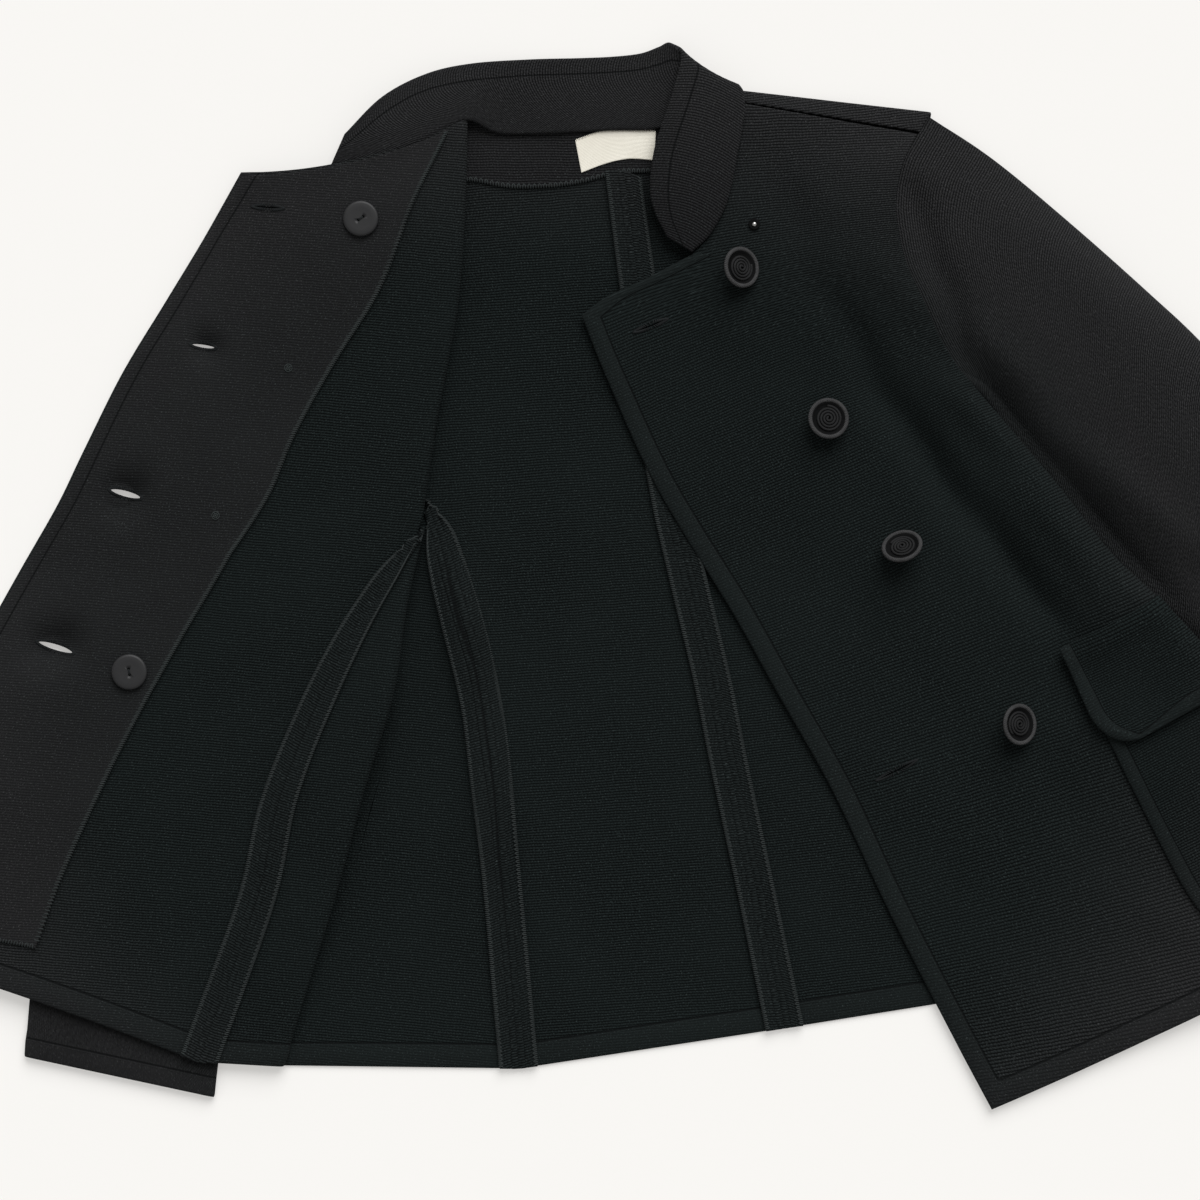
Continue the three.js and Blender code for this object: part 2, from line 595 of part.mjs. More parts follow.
function addSleeves() {
  const clear = new THREE.Vector3(3 * GAP, 0, 0);
  const frontArmhole = (t) => {
    const row = t * FRONT_LEFT_ARMPIT_ROW;
    const share = Math.max(0, 1 - t / CAP_REACH) ** 2;
    const overShoulder = new THREE.Vector3(...CAP_OVER_SHOULDER).multiplyScalar(share);
    return frontLeft.at(frontLeft.width(row), row).add(clear).add(overShoulder);
  };
  const span = BACK_LEFT_SIDE_ROW - BACK_LEFT_SHOULDER_ROW;
  const backArmhole = (t) => {
    const row = between(BACK_LEFT, BACK_LEFT_SHOULDER_ROW + t * span);
    return new THREE.Vector3(row.x1, row.y1, THIN_CLOTH / 2).add(clear);
  };
  const turnedEdge = (t) => {
    const row = t * FRONT_RIGHT_TURNED_ROWS;
    return frontRight.at(frontRight.width(row), row).sub(clear);
  };
  const rightBackArmhole = (t) => {
    const row = between(BACK_RIGHT, t * BACK_RIGHT_SIDE_ROW);
    return new THREE.Vector3(row.x0, row.y0, THIN_CLOTH / 2).sub(clear);
  };
  const upper = (row) => row.top;
  const under = () => THIN_CLOTH / 2;
  const half = (name, rows, armhole, height, fullness) => {
    addCloth(name, sleeveHalf(rows, armhole, height, fullness), "knit", THIN_CLOTH);
  };
  half("sleeve_left_upper", SLEEVE_LEFT, frontArmhole, upper, ROUND_SLEEVE);
  half("sleeve_left_under", SLEEVE_LEFT, backArmhole, under, SLEEVE_UNDERSIDE);
  half("sleeve_right_upper", SLEEVE_RIGHT, turnedEdge, upper, FLAT_SLEEVE);
  half("sleeve_right_under", SLEEVE_RIGHT, rightBackArmhole, under, SLEEVE_UNDERSIDE);
}

function addPockets() {
  const low = CLOTH / 2 + 3 * GAP + THIN_CLOTH / 2;
  const high = low + THIN_CLOTH + 2 * GAP;
  const sew = (name, panel, place, lift) => {
    addCloth(name, patch(panel, place), "knit", THIN_CLOTH, lift);
  };
  sew("pocket_left", frontLeft, POCKET_LEFT, low);
  sew("flap_left", frontLeft, FLAP_LEFT, high);
  sew("pocket_right", frontRight, POCKET_RIGHT, -low);
  sew("flap_right", frontRight, FLAP_RIGHT, -high);
}

// The front's height under a place, found by stepping to the section and the point that meet it.
const ROW_STEP = 0.05;
const ACROSS_STEP = 2;
function onFront(panel, rows, x, y) {
  let best = { miss: Infinity };
  for (let v = 0; v <= lastRow(rows); v += ROW_STEP) {
    for (let s = 0; s <= panel.width(v); s += ACROSS_STEP) {
      const point = panel.at(s, v);
      const miss = Math.hypot(point.x - x, point.y - y);
      if (miss < best.miss) best = { miss, z: point.z };
    }
  }
  return best.z;
}

function place(mesh, x, y, z) {
  mesh.position.set(x - ORIGIN.x, y - ORIGIN.y, z);
}

// A leaning button rests on the low side of its shank's foot or of its rim.
function restingLevel(mesh, x, y) {
  const normal = new THREE.Vector3(0, 0, 1).applyEuler(mesh.rotation);
  const sine = Math.hypot(normal.x, normal.y);
  const level = (radius, height) => {
    const out = (radius * normal.z) / sine + height;
    const under = onFront(frontLeft, FRONT_LEFT, x + normal.x * out, y + normal.y * out);
    return under + radius * sine - height * normal.z;
  };
  const rimHeight = SHANK_BUTTON.shank + SHANK_BUTTON.height * DISC_OUTLINE[1].height;
  return Math.max(level(SHANK_RADIUS, 0), level(SHANK_BUTTON.radius, rimHeight));
}

function addFastenings() {
  SHANK_BUTTONS_LEFT.forEach(({ x, y, tiltX, tiltY }, i) => {
    const mesh = add(`button_left_${i + 1}`, disc(SHANK_BUTTON), "button");
    mesh.rotation.set(THREE.MathUtils.degToRad(-tiltX), THREE.MathUtils.degToRad(tiltY), 0);
    place(mesh, x, y, restingLevel(mesh, x, y) + CLOTH / 2 + GAP);
  });
  SHANK_BUTTONS_RIGHT.forEach(({ row, across }, i) => {
    const mesh = add(`button_right_${i + 1}`, disc(PRESSED_BUTTON), "button");
    const point = frontRight.at(across, row);
    mesh.rotation.set(Math.PI, 0, 0);
    place(mesh, point.x, point.y, point.z - CLOTH / 2 - 3 * GAP);
  });
  FLAT_BUTTONS.forEach(({ x, y }, i) => {
    const mesh = add(`flat_button_${i + 1}`, disc(FLAT_BUTTON), "horn");
    const facingTop = CLOTH / 2 + GAP + THIN_CLOTH + 2 * GAP;
    place(mesh, x, y, onFront(frontRight, FRONT_RIGHT, x, y) + facingTop);
  });
  const stud = add("press_stud", disc(PRESS_STUD), "stud");
  const { x, y } = STUD_PLACE;
  place(stud, x, y, onFront(frontLeft, FRONT_LEFT, x, y) + CLOTH / 2 + 2 * GAP);
}

addBodyPanels();
addFacingsAndCollar();
addSeamStrips();
addSleeves();
addPockets();
addFastenings();

export default jacket;
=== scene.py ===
import math

import bpy
import numpy as np
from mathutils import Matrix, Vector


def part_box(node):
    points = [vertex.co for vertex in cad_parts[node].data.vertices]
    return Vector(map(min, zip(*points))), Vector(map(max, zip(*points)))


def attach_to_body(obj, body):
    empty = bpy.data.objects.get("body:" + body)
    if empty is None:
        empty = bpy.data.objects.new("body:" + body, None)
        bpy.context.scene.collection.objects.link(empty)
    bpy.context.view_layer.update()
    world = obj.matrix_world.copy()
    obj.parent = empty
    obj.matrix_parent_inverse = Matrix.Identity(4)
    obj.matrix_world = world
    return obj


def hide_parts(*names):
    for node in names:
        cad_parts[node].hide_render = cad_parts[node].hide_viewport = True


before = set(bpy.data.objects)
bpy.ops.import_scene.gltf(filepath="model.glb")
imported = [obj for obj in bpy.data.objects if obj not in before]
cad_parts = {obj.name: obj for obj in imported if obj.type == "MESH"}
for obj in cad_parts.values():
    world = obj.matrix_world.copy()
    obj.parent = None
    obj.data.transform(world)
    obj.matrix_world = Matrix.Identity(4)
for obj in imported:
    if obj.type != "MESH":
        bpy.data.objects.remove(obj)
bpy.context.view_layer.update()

# The garment is drawn in millimetres from the middle of the photograph: X to the right, Y up the
# picture and Z up from the surface it lies on. The frame's origin is the middle of its plan.
MM = 0.001
PHOTO_WIDTH = 1200
MM_PER_PIXEL = 0.645
ORIGIN = np.array([47.4, 15.2, 0.0])

CLOTH = 2.0
THIN_CLOTH = 1.6
STRIP_CLOTH = 1.4
COLLAR_CLOTH = 3.2
LABEL_CLOTH = 0.8
GAP = 0.3
FLOOR_LEVEL = CLOTH / 2
SEAM_STRIP_WIDTH = 25

# The share of a sheet's columns before its turn, of a patch's rows before its rounded corner, and
# of a panel's width that its level part takes at most.
TURN_SHARE = 0.68
ROUNDED_FROM = 0.62
MOST_LEVEL = 0.88

# How uneven the cloth on the floor is. On a turn creases fade out by an angle, in radians, and
# they have their whole height only so far above the floor.
FLAT_RIPPLE = 0.12
CREASES_END = 1.4
CREASES_WHOLE = 4

# Where a sheet has no band, and where painted light makes the cloth lighter and greyer: outside an oval
# round a middle.
NO_BAND = 4.0
PAINTED_LIGHT_OVAL = {"x": -10, "y": -60, "wide": 430, "long": 380, "from": 0.45, "over": 0.75}

UP = np.array([0, 0, 1.0])
ACROSS = np.array([1.0, 0, 0])

# How wide the felted band along each kind of edge is.
HEM_BAND = 15.5
FRONT_BAND = 12.5
CUFF_BAND = 12.5
FACING_BAND = 9.5
COLLAR_BAND = 12
POCKET_BAND = 9

# Stitches: how many points in from a rim they turn, how far a buttonhole's reach, and a thread's
# radius. Then how far the pocket flap's edges and its seam stand up.
EDGE_POINTS = 6
STITCH_REACH = 2.2
THREAD_RADIUS = 0.32
LIP_RISE = 2.4
FLAP_SEAM_RISE = 1.8

# The stage, in metres but for the gap under the cloth; angles in degrees.
STAGE_SIDE = 3.0
FLOOR_DROP = 0.2
SKY = {"colour": (1.0, 0.99, 0.975, 1.0), "strength": 0.42}
SUN = {"strength": 3.04, "spread": 46, "turns": (-46.6, 16, 0)}
CAMERA = {"height": 2.4, "sensor": 36, "sees": 20}


def table(columns, rows):
    """A table has named columns and a row for each section of a piece."""
    values = np.array(rows, dtype=float)
    return {name: values[:, i] for i, name in enumerate(columns.split())}


def each(rows):
    """A table's rows one after another, as named numbers."""
    count = len(next(iter(rows.values())))
    return [{name: float(values[k]) for name, values in rows.items()} for k in range(count)]


def last(rows):
    """The number of a table's last row."""
    return len(rows["x0"]) - 1


# Sections run from a near end to a far end. za to zd are the cloth's middle at the near end, a
# third, two thirds and the far end. turn is how far the far end bends down, in degrees, round the
# radius r, and under is how far it then runs on. corner says which end keeps its angle in the
# outline: 1 the near end, 2 the far end, 3 both and the heights.
FRONT_RIGHT = table("x0 y0 x1 y1 bow za zb zc zd r turn under corner", [
    [-231, 275, -86, 308, -9, 7, 13, 14, 13.5, 4, 180, 14, 0],
    [-255, 233, -87, 263, -2, 4, 14, 15.3, 15, 4, 180, 14, 0],
    [-280, 192, -91, 199, 0, 3, 14.5, 15.3, 15, 4, 180, 14, 0],
    [-308, 146, -98, 155, 0, 2, 14.5, 15.3, 15, 4, 180, 14, 0],
    [-333, 96, -106, 113, 0, 1.6, 14.8, 15.3, 15, 4, 180, 12, 0],
    [-350, 61, -112, 72, 0, 1.3, 15, 15.3, 14.4, 4, 110, 4, 0],
    [-374, 19, -118, 39, 0, 1, 15, 15, 12, 4, 0, 0, 2],
    [-407, -40, -155, -16, 0, 1, 14.8, 14.5, 12.5, 4, 0, 0, 0],
    [-436, -92, -182, -68, 0, 1, 13, 13.5, 13, 4, 0, 0, 0],
    [-464, -142, -206, -129, 0, 1, 12.4, 13, 12, 4, 0, 0, 0],
    [-487, -181, -221, -194, 0, 1, 11.8, 12, 10.4, 4, 0, 0, 0],
    [-506, -213, -258, -297, 4, 1, 10.6, 10.6, 8.6, 4, 0, 0, 0],
])
FRONT_RIGHT_SEAM_ROW = 6
FRONT_RIGHT_ARMPIT_ROW = 5

FRONT_LEFT = table("x0 y0 x1 y1 bow za zb zc zd r turn under corner", [
    [92.5, 318, 204, 299, 0, 10, 10, 9, 8.4, 5, 0, 0, 0],
    [86, 279, 194, 279, 0, 11, 12, 14, 14, 5, 0, 0, 0],
    [80, 253, 190, 256, 0, 11, 12, 15, 15, 5, 0, 0, 0],
    [70, 234, 192, 234, 0, 10, 12, 16, 15, 5, 0, 0, 0],
    [59, 222, 197, 214, 0, 9, 12, 16, 15, 5, 0, 0, 1],
    [28, 206, 207, 192, 2, 7.5, 11, 15, 15, 5, 0, 0, 0],
    [4, 195, 217, 170, 3, 6.5, 10, 14, 15, 5, 0, 0, 0],
    [-12, 183, 229, 150, 2, 6.5, 9, 12, 16, 5, 0, 0, 1],
    [4, 143, 237, 140, 0, 6, 8, 11, 17, 6, 40, 0, 0],
    [36, 73, 247, 128, 0, 5.6, 8, 12, 18, 8.5, 90, 0, 0],
    [85, -8, 291, 76, 0, 5.6, 8, 13, 21, 10, 90, 0, 0],
    [114, -60, 328, 29, 0, 5.4, 8, 14, 23, 11, 90, 0, 0],
    [150, -124, 362, -4, 0, 5.2, 8, 14, 25, 12, 90, 0, 0],
    [186, -201, 415, -66, 0, 5.2, 8, 14, 25, 12, 90, 0, 0],
    [228, -283, 465, -150, 0, 5.2, 8, 13, 24, 11.5, 90, 0, 0],
    [252, -328, 497, -209, -3, 5.2, 7, 12, 22, 10.5, 90, 0, 0],
])
FRONT_LEFT_ROLL_ROW = 9
FRONT_LEFT_ARMPIT_ROW = 8

BACK_RIGHT = table("x0 y0 x1 y1 corner", [
    [-128, 300, 12, 305, 0],
    [-135, 240, 20, 240, 0],
    [-128, 160, 30, 165, 0],
    [-113, 68, 44, 72, 1],
    [-97, 17, 56, 17, 0],
    [-79, -50, 72, -50, 0],
    [-70, -110, 84, -110, 0],
    [-62, -190, 101, -190, 0],
    [-52, -302, 119, -276, 0],
])
BACK_RIGHT_ARMPIT_ROW = 3

# The first rows carry the shoulder, which wraps from the seam on top over to the floor.
BACK_LEFT = table("x0 y0 x1 y1 z corner", [
    [93, 319.8, 205.6, 300.9, 8.4, 0],
    [91, 327, 213, 313, 4.6, 0],
    [88, 322, 212, 306, 1, 3],
    [60, 308, 203, 280, 1, 0],
    [36, 305, 199, 250, 1, 0],
    [12, 305, 200, 215, 1, 1],
    [20, 240, 208, 180, 1, 0],
    [30, 165, 222, 140, 1, 0],
    [44, 72, 250, 65, 1, 0],
    [56, 17, 282, 5, 1, 0],
    [72, -50, 318, -60, 1, 0],
    [84, -110, 345, -115, 1, 0],
    [101, -190, 375, -180, 1, 0],
    [119, -276, 395, -232, 1, 0],
])
BACK_LEFT_SHOULDER_ROW = 2
BACK_LEFT_NECK_ROW = 5
BACK_LEFT_SIDE_ROW = 7

# The side panel rises from the front seam to a soft crest, tucks in under it and then lies flat.
SIDE_RIGHT = table("x0 y0 z0 xc yc zc tuck x1 y1", [
    [-118, 39, 12, -113.6, 47, 8, 0, -113, 68],
    [-155, -16, 12.5, -125, -4, 17, 4, -97, 17],
    [-182, -68, 13, -134, -60, 21, 12, -79, -50],
    [-206, -129, 12, -153, -123, 20, 12, -70, -110],
    [-221, -194, 10.4, -172, -193, 16, 8, -62, -190],
    [-258, -297, 8.6, -205, -300, 8, 0, -52, -302],
])
# Each knot lies at a share of the way to the crest and so many millimetres beyond it, less where the
# rest of the panel is narrow.
CREST_KNOTS = table("toCrest beyond rise level tucked", [
    [0, 0, 0, 0, 0],
    [0.55, 0, 0.6, 0, 0],
    [1, -4, 1, 0, 0],
    [1, 0.4, 0.74, 0, 0],
    [1, -1, 0.38, 0, 1],
    [1, 0.5, 0.1, 0, 1],
    [1, 8, 0, 1, 0],
    [1, 16, 0, 1, 0],
])
KNOTS_UP_TO_CREST = 3
NARROW_REST = 40

COLLAR = table("x0 y0 z0 x1 y1 z1", [
    [-172, 280.5, 12.4, -164, 299, 12],
    [-140, 288, 13.6, -140, 323, 11],
    [-118, 295.2, 14, -112, 338, 9],
    [-87, 309, 12, -83, 345, 6.5],
    [-65, 301.8, 6.2, -45, 348, 4.5],
    [-37, 301.6, 6, -14, 349, 3],
    [-15, 302.6, 6, 8, 350, 2.6],
    [11, 304, 6.2, 26, 352, 3],
    [37, 305, 6.4, 38, 356, 5],
    [58, 313, 7.4, 45, 358, 9.5],
    [84, 330, 11.5, 52, 349, 14.5],
    [91.4, 319.5, 14.3, 46, 324, 15.5],
    [85.3, 279.5, 14.5, 35, 290, 15],
    [79.3, 254, 14.3, 32, 265, 14],
    [69.4, 235, 13.4, 35, 249, 13],
    [58.4, 223.5, 12.2, 43, 233, 12],
])

NECK_FACING = table("x0 y0 x1 y1", [
    [-100, 312, -98, 270],
    [-81, 309, -82, 270],
    [-59, 304, -59, 266],
    [-35, 302, -35, 266],
    [-12, 303, -12, 269],
    [12, 303, 12, 275],
    [36, 303, 34, 276],
    [62, 306, 58, 280],
])

LABEL = table("x0 y0 x1 y1", [
    [-16, 296, -12, 275],
    [0, 301.5, 4, 281],
    [11, 302, 19, 284],
    [36, 302, 35, 283],
])

SLEEVE_LEFT = table("x0 y0 x1 y1 top", [
    [214.6, 312, 230, 150, 16],
    [255, 283, 240.6, 137.4, 20],
    [304, 241, 251.2, 123.4, 22],
    [353, 197, 270.5, 97.5, 22],
    [387, 165, 290.5, 72.6, 22],
    [445, 103, 346.6, 7.0, 20],
    [503, 35, 408.4, -57, 18],
    [555, -35, 451, -125, 17],
    [600, -110, 487.3, -189.5, 17],
])

SLEEVE_RIGHT = table("x0 y0 x1 y1 top", [
    [-112, 298, -128, 62, 5.4],
    [-165, 268, -136, 46, 5.4],
    [-212, 215, -145, 24, 5.4],
    [-244, 163, -157, 2, 5.4],
    [-290, 68, -174, -30, 5.4],
    [-327, -40, -204, -85, 5.4],
    [-350, -128, -223, -150, 5.4],
    [-362, -205, -236, -215, 5.4],
    [-370, -294, -249, -320, 5.4],
])
SLEEVE_CAP_ROWS = 3
SLEEVE_EDGE = 3.2
CAP_OVER_SHOULDER = np.array([7.2, 12.6, -3])
CAP_REACH = 0.1

FACING_RIGHT = {"top": 0.06, "bottom": 10.55, "start": 3, "width": 135}
FLAP_LEFT = {"top": 11.87, "bottom": 12.82, "start": 170, "end": 9, "corner": 26}
POCKET_LEFT = {"top": 12.4, "bottom": 14.5, "start": 175, "end": 9, "corner": 24}
FLAP_RIGHT = {"top": 7.6, "bottom": 8.9, "start": 168, "end": 14, "corner": 24}
POCKET_RIGHT = {"top": 8.4, "bottom": 10.5, "start": 172, "end": 14, "corner": 22}

# Creases: a soft ridge, or a trough where the height is below nought, along the
# line from one end to the other, fading out towards both.
LEFT_CREASES = table("x0 y0 x1 y1 height width", [
    [140, 206, 184, 116, -8.0, 13],
    [172, 134, 246, 46, -12.0, 12],
    [232, 62, 306, -16, -12.0, 11.5],
    [286, -4, 322, -62, -5.0, 17],
    [270, -34, 300, -82, -3.0, 17],
    [174, 232, 214, 160, 3.2, 12],
    [206, 152, 262, 84, 5.2, 11],
    [258, 76, 332, -4, 4.8, 11],
    [96, 292, 150, 214, -2.2, 14],
    [128, 262, 176, 250, 1.6, 14],
    [60, 196, 128, 152, 1.6, 18],
    [112, 66, 176, -40, -2.0, 19],
    [196, -98, 262, -216, 2.2, 20],
    [262, -76, 318, -182, -2.4, 16],
    [150, -96, 190, -180, -1.6, 15],
    [330, -190, 398, -214, 1.8, 14],
])
RIGHT_CREASES = table("x0 y0 x1 y1 height width", [
    [-112, 250, -128, 120, 1.1, 12],
    [-140, 270, -196, 214, 0.8, 16],
    [-128, 92, -214, 36, -1.0, 14],
    [-236, 130, -300, 30, 0.8, 18],
    [-330, -20, -400, -150, 0.9, 20],
    [-196, -40, -246, -150, 0.8, 16],
    [-262, -60, -330, -190, -0.9, 17],
    [-352, -160, -420, -206, 0.8, 16],
    [-230, -210, -300, -262, 0.8, 14],
    [-264, 165, -240, 161, -7, 10],
    [-322, 70, -288, 65, -12, 15],
    [-370, -27, -330, -33, -12, 15],
])
BACK_CREASES = table("x0 y0 x1 y1 height width", [
    [-102, 34, -86, -64, 8.5, 13],
    [-88, -46, -76, -210, 7.5, 13],
    [-96, 120, -60, -30, 1.3, 12],
    [-20, 120, 4, -80, 0.9, 16],
    [-40, -120, -14, -280, 1.1, 15],
    [60, -120, 84, -262, 0.9, 13],
    [-60, 230, 10, 214, 0.8, 18],
    [150, -150, 196, -262, 1.0, 14],
])
SLEEVE_CREASES = table("x0 y0 x1 y1 height width", [
    [194, 274, 214, 206, -4.0, 9],
    [210, 218, 240, 152, -7.0, 10],
    [234, 152, 292, 84, -9.0, 12.5],
    [286, 92, 366, 2, -9.0, 12.5],
    [217, 208, 289, 121, 3.2, 12],
    [283, 128, 384, 14, 4.2, 13],
    [268, 246, 352, 156, 3.0, 20],
    [372, 24, 440, -44, -4.6, 12],
    [402, 62, 486, -16, 3.0, 16],
    [420, 104, 500, 22, 1.8, 16],
    [430, -66, 500, -120, -2.6, 13],
    [430, -20, 530, -30, -1.8, 12],
    [480, -86, 566, -68, 1.6, 12],
])


def between(rows, place):
    """Rows are joined by smooth curves; at a corner they leave and arrive straight instead."""
    count = last(rows) + 1
    place = np.asarray(place, dtype=float)
    i = np.clip(np.floor(place).astype(int), 0, count - 2)
    t = place - i
    corner = rows.get("corner", np.zeros(count))
    result = {}
    for name, values in rows.items():
        kinds = {"0": (1, 3), "1": (2, 3)}.get(name[-1], (3,))
        stops = np.isin(corner, kinds)
        a, b = values[i], values[i + 1]
        step = b - a
        before = values[np.maximum(i - 1, 0)]
        after = values[np.minimum(i + 2, count - 1)]
        leave = np.where(stops[i] | (i == 0), step, (b - before) / 2)
        arrive = np.where(stops[i + 1] | (i + 2 >= count), step, (after - a) / 2)
        bend = (leave * (1 - t) - arrive * t - step * (1 - 2 * t)) * t * (1 - t)
        result[name] = a + step * t + bend
    return result


def through(values, t):
    """A smooth curve through evenly spaced values, which may be arrays, at t from 0 to 1."""
    count = len(values)
    values = np.stack(np.broadcast_arrays(*values))
    place = np.clip(t, 0, 1) * (count - 1)
    i = np.clip(np.floor(place).astype(int), 0, count - 2)
    part = place - i

    def pick(index):
        return np.take_along_axis(values, np.clip(index, 0, count - 1)[None], 0)[0]

    a, b = pick(i), pick(i + 1)
    step = b - a
    leave = np.where(i == 0, step, (b - pick(i - 1)) / 2)
    arrive = np.where(i + 2 >= count, step, (pick(i + 2) - a) / 2)
    bend = (leave * (1 - part) - arrive * part - step * (1 - 2 * part)) * part * (1 - part)
    return a + step * part + bend


def creased(folds, x, y):
    """The height of all the creases of a table over a place."""
    total = np.zeros(np.shape(x))
    for k, fold in enumerate(each(folds)):
        dx, dy = fold["x1"] - fold["x0"], fold["y1"] - fold["y0"]
        run = math.hypot(dx, dy)
        along = ((x - fold["x0"]) * dx + (y - fold["y0"]) * dy) / run ** 2
        sway = 0.06 * run * np.sin(3.1 * along + k)
        aside = ((x - fold["x0"]) * dy - (y - fold["y0"]) * dx) / run + sway
        reach = np.clip(along, -0.25, 1.25)
        taper = np.sin(math.pi * (reach + 0.25) / 1.5) ** 2
        total += fold["height"] * taper * np.exp(-(aside / fold["width"]) ** 2)
    return total


def ripple(x, y, size):
    """The faint unevenness of cloth that lies loose."""
    waves = (
        np.sin(x / 23 + 1.1 * np.sin(y / 41)) * np.sin(y / 31 + 0.7)
        + 0.6 * np.sin(x / 13 - y / 19 + 1.9)
        + 0.35 * np.sin(x / 7.5 + y / 11.5 + 0.4)
    )
    return size * waves


def rumpled(x, y):
    """How far the cloth that lies on the surface rises from it."""
    return np.maximum(0, creased(BACK_CREASES, x, y) + ripple(x, y, FLAT_RIPPLE))


def run_of(row):
    """How long a section is in plan."""
    return np.hypot(row["x1"] - row["x0"], row["y1"] - row["y0"])


def part_way(row, part):
    """The place in plan at a share of a section."""
    x = row["x0"] + (row["x1"] - row["x0"]) * part
    return x, row["y0"] + (row["y1"] - row["y0"]) * part


class Turned:
    """A panel whose far end turns down and may run back under itself."""

    def __init__(self, rows, most_turn, folds, unevenness, lowest):
        self.rows = rows
        self.lowest = lowest
        self.most_turn = most_turn
        self.folds = folds
        self.unevenness = unevenness

    def section(self, v):
        row = between(self.rows, v)
        run = run_of(row)
        turn = np.radians(np.clip(row["turn"], 0, self.most_turn))
        level = run - row["r"] * np.sin(np.minimum(turn, math.pi / 2))
        arc = row["r"] * turn
        under = np.maximum(0, row["under"])
        return row, run, turn, level, arc, level + arc + under

    def width(self, v):
        return self.section(v)[5]

    def knee(self, v):
        section = self.section(v)
        return np.minimum(section[3], section[5] * MOST_LEVEL)

    def at(self, s, v):
        row, run, turn, level, arc, _ = self.section(v)
        on_level = np.minimum(s, level)
        angle = np.minimum(np.maximum(s - level, 0) / row["r"], turn)
        after = np.maximum(0, s - level - arc)
        d = on_level + row["r"] * np.sin(angle) + after * np.cos(turn)
        drop = row["r"] * (1 - np.cos(angle)) + after * np.sin(turn)
        part = on_level / level
        z = through([row["za"], row["zb"], row["zc"], row["zd"]], part) - drop
        bow = row["bow"] * 4 * part * (1 - part)
        ax = (row["x1"] - row["x0"]) / run
        ay = (row["y1"] - row["y0"]) / run
        x = row["x0"] + ax * d - ay * bow
        y = row["y0"] + ay * d + ax * bow
        flat = np.clip(1 - angle / CREASES_END, 0, 1) ** 2
        edge = np.clip((z - FLOOR_LEVEL) / CREASES_WHOLE, 0, 1)
        lift = flat * edge * (creased(self.folds, x, y) + ripple(x, y, self.unevenness))
        z = np.maximum(z + lift, np.minimum(z, self.lowest))
        return np.stack([x, y, z], -1)


class Flat:
    """A panel that lies on the surface, with a few creases that rise from it."""

    def __init__(self, rows):
        self.rows = rows

    def width(self, v):
        return run_of(between(self.rows, v))

    def at(self, s, v):
        row = between(self.rows, v)
        x, y = part_way(row, s / run_of(row))
        return np.stack([x, y, row.get("z", FLOOR_LEVEL) + rumpled(x, y)], -1)


class SideLeft:
    """The panel from the roll's outermost line down to the floor and in to the back panel."""

    def section(self, v):
        row = between(FRONT_LEFT, FRONT_LEFT_ROLL_ROW + v)
        back = between(BACK_LEFT, BACK_LEFT_SIDE_ROW + v)
        run = np.hypot(back["x1"] - row["x1"], back["y1"] - row["y1"])
        radius = row["zd"] - row["r"] - FLOOR_LEVEL
        arc = radius * math.pi / 2
        return row, back, run, radius, arc, arc + run - radius

    def width(self, v):
        return self.section(v)[5]

    def knee(self, v):
        return self.section(v)[4]

    def at(self, s, v):
        row, back, run, radius, arc, _ = self.section(v)
        angle = np.minimum(s, arc) / radius
        d = radius * (1 - np.cos(angle)) + np.maximum(0, s - arc)
        x = row["x1"] + (back["x1"] - row["x1"]) * d / run
        y = row["y1"] + (back["y1"] - row["y1"]) * d / run
        return np.stack([x, y, FLOOR_LEVEL + radius * (1 - np.sin(angle))], -1)


class SideRight:
    """The opened side panel with its soft crest. u runs from nought to one across it."""

    knots = len(CREST_KNOTS["rise"])

    def lengths(self, v):
        row = between(SIDE_RIGHT, v)
        to_crest = np.hypot(row["xc"] - row["x0"], row["yc"] - row["y0"])
        rest = np.hypot(row["x1"] - row["xc"], row["y1"] - row["yc"])
        return row, to_crest, rest

    def front_share(self, s, v):
        _, to_crest, _ = self.lengths(v)
        return s / (CREST_KNOTS["toCrest"][1] * to_crest) / self.knots

    def back_share(self, s, v):
        _, _, rest = self.lengths(v)
        final = rest - CREST_KNOTS["beyond"][-1] * np.minimum(1, rest / NARROW_REST)
        return 1 - s / final / self.knots

    def at(self, u, v):
        row, to_crest, rest = self.lengths(v)
        distances, heights = [], []
        for k, knot in enumerate(each(CREST_KNOTS)):
            beyond = knot["beyond"] * np.minimum(1, rest / NARROW_REST)
            beyond = beyond - row["tuck"] * knot["tucked"]
            distances.append(to_crest * knot["toCrest"] + np.maximum(beyond, -to_crest * 0.4))
            if k < KNOTS_UP_TO_CREST:
                heights.append(row["z0"] + (row["zc"] - row["z0"]) * knot["rise"])
            else:
                rise = 0 if knot["level"] else knot["rise"]
                heights.append(FLOOR_LEVEL + (row["zc"] - FLOOR_LEVEL) * rise)
        distances.append(to_crest + rest)
        heights.append(FLOOR_LEVEL + 0 * rest)
        d = through(distances, u)
        z = np.maximum(through(heights, u), FLOOR_LEVEL)
        part = np.minimum(d / to_crest, 1)
        over = np.maximum(0, d - to_crest) / rest
        x = row["x0"] + (row["xc"] - row["x0"]) * part + (row["x1"] - row["xc"]) * over
        y = row["y0"] + (row["yc"] - row["y0"]) * part + (row["y1"] - row["yc"]) * over
        lying = np.clip((z - FLOOR_LEVEL) / 3, 0, 1)
        flat = (1 - lying) * np.where(u > 0.5, rumpled(x, y), 0)
        z = z + lying * ripple(x, y, 0.25) + flat
        return np.stack([x, y, z], -1)


front_right = Turned(FRONT_RIGHT, 180, RIGHT_CREASES, 0.3, 1.4)
front_left = Turned(FRONT_LEFT, 90, LEFT_CREASES, 0.35, 3.4)
back_right = Flat(BACK_RIGHT)
back_left = Flat(BACK_LEFT)
side_left = SideLeft()
side_right = SideRight()


